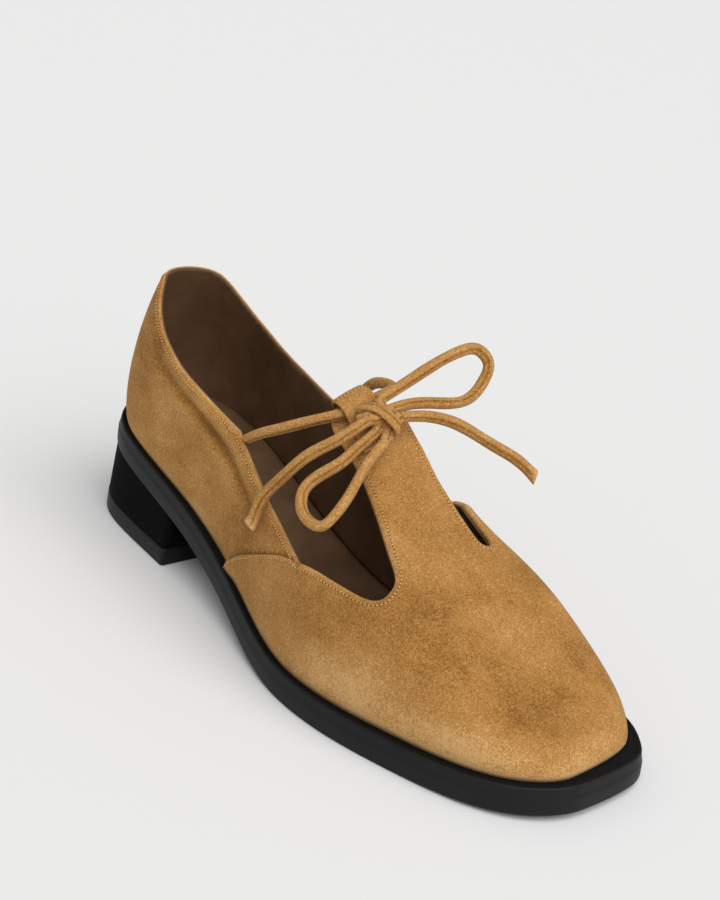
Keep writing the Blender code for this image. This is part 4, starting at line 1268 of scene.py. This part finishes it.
# %% Lace tab
TAB_PROFILE = (
    # down the strap as a share of the tab's length, over the last as a share of the lace
    (-0.055, -0.40), (-0.068, 0.15), (-0.032, 0.80), (0.084, 1.43), (0.253, 1.66), (0.432, 1.46),
    (0.589, 0.92), (0.716, 0.55), (0.850, 0.52), (1.000, 0.52), (1.160, 0.52),
)
TAB_SPAN = (-0.265, -0.125)
TAB_FOLD_ALONG = 0.460
TAB_LENGTH = 19 * MM
TAB_WALL = 1.5 * MM
TAB_DEPTH = TAB_PROFILE[-1][0] * TAB_LENGTH
TAB_POINTS = 90
# the inner face of the folded strip is darker: painted shade inside the fold
TAB_INSIDE_PAINTED_SHADE = -0.45
TAB_EDGE_PALE = (0.20, 0.8 * MM)


def tab_place(around, down, over):
    """A point over the strap, from how far down the tab it lies."""
    here = last_points(turn_at(TAB_FOLD_ALONG), around)
    ahead = last_points(turn_at(TAB_FOLD_ALONG + 1e-3), around)
    along = TAB_FOLD_ALONG + down * 1e-3 / np.linalg.norm(ahead - here)
    return over_last(along, np.full(np.shape(along), around), over)


def make_tab():
    """The tab, with its profile's square directions and middle line for the stitches."""
    middle = smooth_line(np.array(TAB_PROFILE) * (TAB_LENGTH, LACE), TAB_POINTS)
    run = np.gradient(middle, axis=0)
    run /= np.linalg.norm(run, axis=1)[:, None]
    square = np.column_stack([-run[:, 1], run[:, 0]])
    end = np.sqrt(np.clip(1 - np.clip(1 - np.arange(TAB_POINTS)[::-1] / 2.5, 0, 1)**2, 0.02, 1))
    share = np.concatenate([[0, 0.006, 0.02, 0.045], np.linspace(0.08, 0.92, 30), [0.955, 0.98, 0.994, 1]])
    side_round = np.sqrt(np.clip(1 - np.clip(1 - np.minimum(share, 1 - share) / 0.045, 0, 1)**2, 0.02, 1))
    rings = []
    for place, thin in zip(share, side_round):
        around = TAB_SPAN[0] + (TAB_SPAN[1] - TAB_SPAN[0]) * place
        half = (TAB_WALL / 2 * thin * end)[:, None]
        section = np.concatenate([middle + square * half, (middle - square * half)[::-1]])
        rings.append(tab_place(around, section[:, 0], section[:, 1]))
    n, links = len(rings[0]), np.arange(TAB_POINTS - 1)
    strip = np.stack([links, links + 1, n - 2 - links, n - 1 - links], axis=-1)
    faces = [grid_faces(len(rings), n, around=True), strip[:, ::-1], strip + (len(rings) - 1) * n]
    down = np.concatenate([middle[:, 0], middle[::-1, 0]])
    inside = np.repeat([0.0, TAB_INSIDE_PAINTED_SHADE], TAB_POINTS)
    pale = fading(down - TAB_DEPTH, *TAB_EDGE_PALE)
    tab_shade = np.tile(inside + pale, len(rings))
    piece = make_piece("folded_tab", np.concatenate(rings), faces, suede, {"shade": tab_shade})
    return piece, square, middle


tab, tab_square, tab_middle = make_tab()
fit_on(tab, "suede", "lace_tab")
print("the tab is", round(TAB_DEPTH / MM, 1), "mm long")

# %% Stitches of the tab
TAB_ROWS = (
    # how far down the tab, and the number of the profile's point from which that is looked for
    (TAB_DEPTH - 1.6 * MM, 30), (1.4 * MM, 12))


def tab_stitch_row(down, past_fold):
    """Places, directions and normals of a row across the tab, that far down its outer face."""
    row_at = next(k for k, place in enumerate(tab_middle) if k > past_fold and place[0] > down)
    spot = tab_middle[row_at] + tab_square[row_at] * TAB_WALL / 2
    width = np.linalg.norm(tab_place(TAB_SPAN[1], *spot) - tab_place(TAB_SPAN[0], *spot))
    count = 2 * round(width / PITCH) - 1
    row = np.array([tab_place(TAB_SPAN[0] + (TAB_SPAN[1] - TAB_SPAN[0]) * k, *spot)
                    for k in np.linspace(0.06, 0.94, count)])
    run = np.gradient(row, axis=0)
    run /= np.linalg.norm(run, axis=1)[:, None]
    out = tab_square[row_at]
    ahead = np.array([tab_place(np.mean(TAB_SPAN), *(spot + out * 1e-4))])
    up = np.repeat(ahead - tab_place(np.mean(TAB_SPAN), *spot), count, axis=0)
    up -= run * (up * run).sum(-1)[:, None]
    return row, run, up / np.linalg.norm(up, axis=1)[:, None]


tab_rows = [tab_stitch_row(*row) for row in TAB_ROWS]
tab_row, tab_run, tab_up = (np.concatenate(part) for part in zip(*tab_rows))
fit_on(make_beads("tab_stitches", tab_row[::2], tab_run[::2], tab_up[::2], THREAD, thread), "suede")
# flat dark beads between the tab's stitches: painted shadow of the needle holes
fit_on(make_beads("tab_pinhole_shadows", tab_row[1::2], tab_run[1::2], tab_up[1::2], HOLE, pinhole_shadow), "suede")

# %% [markdown]
# ## Lace
#
# The lace is a strip of suede rolled into a cord, so a dark slit runs along it and its cut ends are
# fuzzy and pale. A curve with a round bevel would make a plain cord. So a ring with a notch is swept
# along each route without letting it twist. The knot is made of seven short turns that pass through
# one another unseen. The real length of each loop and each end along its middle line is printed.

# %% Routes of the lace
KNOT_PLACE = (0.5268, -0.1710, 2.374)
LACE_ROUTES = {
    "lace_loop_inner": (
        (0.62, 1.42, 0.95), (2.12, 1.65, 1.40), (3.75, 1.90, 1.90), (5.38, 2.15, 2.40), (8.00, 2.40, 3.27),
        (10.50, 2.27, 4.02), (12.00, 2.02, 3.90), (12.62, 1.15, 2.90), (12.12, 0.77, 1.65),
        (10.62, 0.27, 0.52), (9.12, 0.40, -0.10), (6.25, 1.02, 0.02), (3.62, 1.02, 0.27), (1.30, 0.62, 0.27)),
    "lace_loop_outer": (
        (-0.85, -0.48, -1.05), (-2.88, -0.48, -2.35), (-4.38, -0.48, -3.35), (-5.88, 0.15, -4.48),
        (-7.12, 0.40, -5.60), (-7.88, -0.23, -6.35), (-8.50, -1.73, -6.98), (-8.25, -3.60, -7.10),
        (-7.38, -3.98, -6.35), (-5.38, -3.48, -4.73), (-3.25, -2.48, -2.98), (-0.68, -1.60, -1.45)),
    "lace_end_inner": (
        (1.60, -0.50, 0.02), (3.12, -0.60, -0.10), (4.62, -0.98, -0.23), (6.62, -1.85, -0.73),
        (8.50, -2.98, -1.73), (10.12, -4.35, -2.73), (11.50, -5.72, -3.60), (12.62, -7.10, -4.85)),
    "lace_end_outer": (
        (-1.57, -0.15, 0.12), (-2.88, 0.02, -0.60), (-4.12, 0.52, -1.60), (-6.00, 1.90, -3.35),
        (-7.25, 3.02, -5.35), (-8.00, 4.15, -7.23), (-8.52, 4.65, -8.60), (-9.00, 4.65, -9.98),
        (-9.40, 4.62, -10.75)),
}
LACE_BAR_ROUTE = (
    (0.3700, -0.612, -0.20), (0.3990, -0.544, 0.50), (0.4270, -0.475, 0.75), (0.4620, -0.356, 0.82),
    (0.4850, -0.225, 0.84), (0.4850, -0.150, 0.84), (0.4820, -0.070, 0.80), (0.4720, 0.030, 0.54),
    (0.4440, 0.200, 0.50), (0.4080, 0.380, 0.52), (0.3740, 0.570, -0.20),
)
KNOT_TURNS = (
    # routes through the knot from its middle, as shares of the lace
    ((-0.83, 1.86, 0.13), (-1.13, 1.57, 0.44), (-1.15, 1.14, 0.77), (-0.95, 0.53, 1.00),
     (-0.70, -0.04, 1.02), (-0.45, -0.54, 0.89), (-0.19, -1.01, 0.65), (0.12, -1.42, 0.29),
     (0.43, -1.56, -0.08), (0.69, -1.32, -0.52), (0.76, -0.85, -0.84), (0.54, -0.42, -1.04)),
    ((-1.80, 0.95, -0.30), (-1.55, 0.62, -0.10), (-0.98, 0.22, 0.33), (0.07, 0.35, 0.48)),
    ((-1.57, -0.16, 0.11), (-0.88, -0.38, 0.19), (0.03, -0.19, 0.24), (1.31, 0.61, 0.27)),
    ((-0.86, -0.48, -1.06), (-0.39, -0.43, -0.34), (0.28, 0.16, 0.34), (0.61, 1.42, 0.95)),
    ((-0.69, -1.61, -1.45), (-0.05, -1.11, -0.96), (0.62, -0.70, -0.39), (1.59, -0.49, 0.03)),
    ((-0.20, 1.30, -0.60), (-0.30, 0.40, -0.60), (0.10, -0.60, -0.60)),
    ((-1.45, 1.35, 0.20), (-0.90, 0.85, 0.45), (-0.30, 0.10, 0.45), (0.30, -0.55, 0.20)),
)
print("the lace has", len(LACE_ROUTES), "free parts, and the knot", len(KNOT_TURNS), "turns")

# %% Sweeping the cord
SLIT_TOWARDS = (-0.35, -0.75, 0.1)
SLIT_AWAY = (0.59, 0.70, -0.41)
WRAP_PRESS = (0.62, 1.30)
KNOT_PRESS = (0.80, 1.08)
CUT_SLANTS = {"lace_end_inner": 0.75, "lace_end_outer": -0.45}
CORD_SIDES = 28
END_WIDTHS = (0.05, 0.62, 0.93)
END_DOME = 0.3 * MM
# darker along the slit: painted shade in its groove
SLIT_PAINTED_SHADE = 0.45
WOBBLE = 0.012
CUT_FLARE = 0.14
CUT_REACH = 4


def swept(points, radius, start_towards, cut_slant=None, press=(0.92, 1.05)):
    """A ring with a notch swept along a line: points, faces and the notch's shade."""
    run = np.gradient(points, axis=0)
    run /= np.linalg.norm(run, axis=1)[:, None]
    lift = np.array(start_towards, float)
    angles = np.linspace(0, 2 * math.pi, CORD_SIDES + 1)[:-1]
    overlap = 1.03 - 0.13 * np.exp(-angles / 0.55) - 0.10 * np.exp(-(angles / 0.16)**2)
    slit = np.exp(-((angles - 0.10) / 0.20)**2)
    wobble = np.random.default_rng(7).normal(0, 1, len(points) + 40)
    wobble = np.convolve(wobble, np.hanning(21), "same")[20:20 + len(points)] * WOBBLE
    fray = np.random.default_rng(11)
    rings, shades = [], []
    steps = [(0, wide) for wide in END_WIDTHS] + [(i, 1.0) for i in range(len(points))]
    steps += [(len(points) - 1, wide) for wide in END_WIDTHS[::-1]]
    for number, (i, wide) in enumerate(steps):
        lift = lift - run[i] * (lift @ run[i])
        lift /= np.linalg.norm(lift)
        aside = np.cross(run[i], lift)
        out = max(0, 3 - number, number - len(steps) + 4) / 3
        centre = points[i] + run[i] * (END_DOME * out * (-1 if number < 3 else 1))
        at_cut = math.exp(-((len(points) - 1 - i) / CUT_REACH)**2) if cut_slant is not None else 0
        ring = radius * wide * (overlap + wobble[i]) * (1 + CUT_FLARE * at_cut)
        rings.append(centre + (np.cos(angles) * ring * press[0])[:, None] * lift
                     + (np.sin(angles) * ring * press[1])[:, None] * aside
                     + (np.cos(angles - 2.0) * wide * at_cut * (cut_slant or 0.0) * radius)[:, None] * run[i])
        fuzz = at_cut**2 * fray.uniform(0.08, 0.58, len(angles))
        # painted shade along the slit, and pale fuzz at a cut end
        shades.append(0.08 - SLIT_PAINTED_SHADE * slit * (1 - 0.7 * at_cut) + fuzz)
    n, m = len(angles), len(rings)
    faces = [grid_faces(m, n, around=True), np.arange(n)[None, ::-1], np.arange((m - 1) * n, m * n)[None]]
    return np.concatenate(rings), faces, np.concatenate(shades)


def cord_points(route, step=0.7 * MM):
    """The smooth middle line of a cord through its route."""
    length = np.linalg.norm(np.diff(route, axis=0), axis=1).sum()
    return smooth_line(route, round(length / step) + 1)


def line_length(points):
    return float(np.linalg.norm(np.diff(points, axis=0), axis=1).sum())


print("a cord's ring has", CORD_SIDES, "points")

# %% Lace pieces
lace_suede = make_suede("lace_suede", patchy=0.7, grain=1.1)
knot_middle = over_last(*KNOT_PLACE[:2], KNOT_PLACE[2] * LACE)
bar = np.array(LACE_BAR_ROUTE)
bar_points = cord_points(over_last(bar[:, 0], bar[:, 1], bar[:, 2] * LACE))
points, faces, lace_shade = swept(bar_points, LACE / 2, SLIT_TOWARDS)
fit_on(make_piece("lace_through_tab", points, faces, lace_suede, {"shade": lace_shade}), "lace", "lace_bars")

parts, faces, shades, count = [], [], [], 0
for number, route in enumerate(KNOT_TURNS):
    line = cord_points(knot_middle + np.array(route) * LACE, 0.6 * MM)
    slit_towards, press = (SLIT_AWAY, WRAP_PRESS) if number == 0 else (SLIT_TOWARDS, KNOT_PRESS)
    part, part_faces, part_shade = swept(line, LACE / 2, slit_towards, press=press)
    parts.append(part)
    faces += [f + count for f in part_faces]
    shades.append(part_shade)
    count += len(part)
knot = make_piece("bow_knot", np.concatenate(parts), faces, lace_suede, {"shade": np.concatenate(shades)})
fit_on(knot, "lace", "lace_knot")

for name, route in LACE_ROUTES.items():
    line = cord_points(knot_middle + np.array(route) * LACE)
    points, faces, lace_shade = swept(line, LACE / 2, SLIT_TOWARDS, CUT_SLANTS.get(name))
    piece = make_piece(name + "_cord", points, faces, lace_suede, {"shade": lace_shade})
    fit_on(piece, "lace", name)
    line_length(line)
    print(name, "is", round(line_length(line) / MM, 1), "mm long")

# %% [markdown]
# ## Floor and light
#
# The shoe was photographed on a pale sweep under large soft lights, which leave only a faint shadow.
# Several area lights could be set around it. One very wide light from above, a little from the toe's
# side, gives the shape just as well, and the pale surroundings fill the rest.

# %% Floor and light
FLOOR_COLOUR = (0.82, 0.82, 0.815)
CEILING_FROM = (-0.05, -0.75, 1.0)
CEILING_STRENGTH = 2.45
CEILING_SPREAD = 75
SURROUND_STRENGTH = 0.40
FLOOR_HALF = 60
floor_mesh = bpy.data.meshes.new("floor")
corners = [(x * FLOOR_HALF, y * FLOOR_HALF, 0) for x, y in ((-1, -1), (1, -1), (1, 1), (-1, 1))]
floor_mesh.from_pydata(corners, [], [(0, 1, 2, 3)])
floor = bpy.data.objects.new("floor", floor_mesh)
bpy.context.scene.collection.objects.link(floor)
paper = {"Base Color": (*FLOOR_COLOUR, 1), "Roughness": 0.8, "Specular IOR Level": 0.1}
floor_mesh.materials.append(new_material("floor_paper", paper)[0])

sky_data = bpy.data.lights.new("ceiling_light", "SUN")
sky_data.energy, sky_data.angle = CEILING_STRENGTH, math.radians(CEILING_SPREAD)
ceiling_light = bpy.data.objects.new("ceiling_light", sky_data)
ceiling_light.rotation_euler = (-Vector(CEILING_FROM)).to_track_quat("-Z", "Y").to_euler()
bpy.context.scene.collection.objects.link(ceiling_light)
world = bpy.data.worlds.new("studio")
world.use_nodes = True
world.node_tree.nodes["Background"].inputs["Color"].default_value = (1, 1, 1, 1)
world.node_tree.nodes["Background"].inputs["Strength"].default_value = SURROUND_STRENGTH
bpy.context.scene.world = world
bpy.context.scene.view_settings.view_transform = "Standard"
print("ceiling", CEILING_STRENGTH, "and surroundings", SURROUND_STRENGTH)
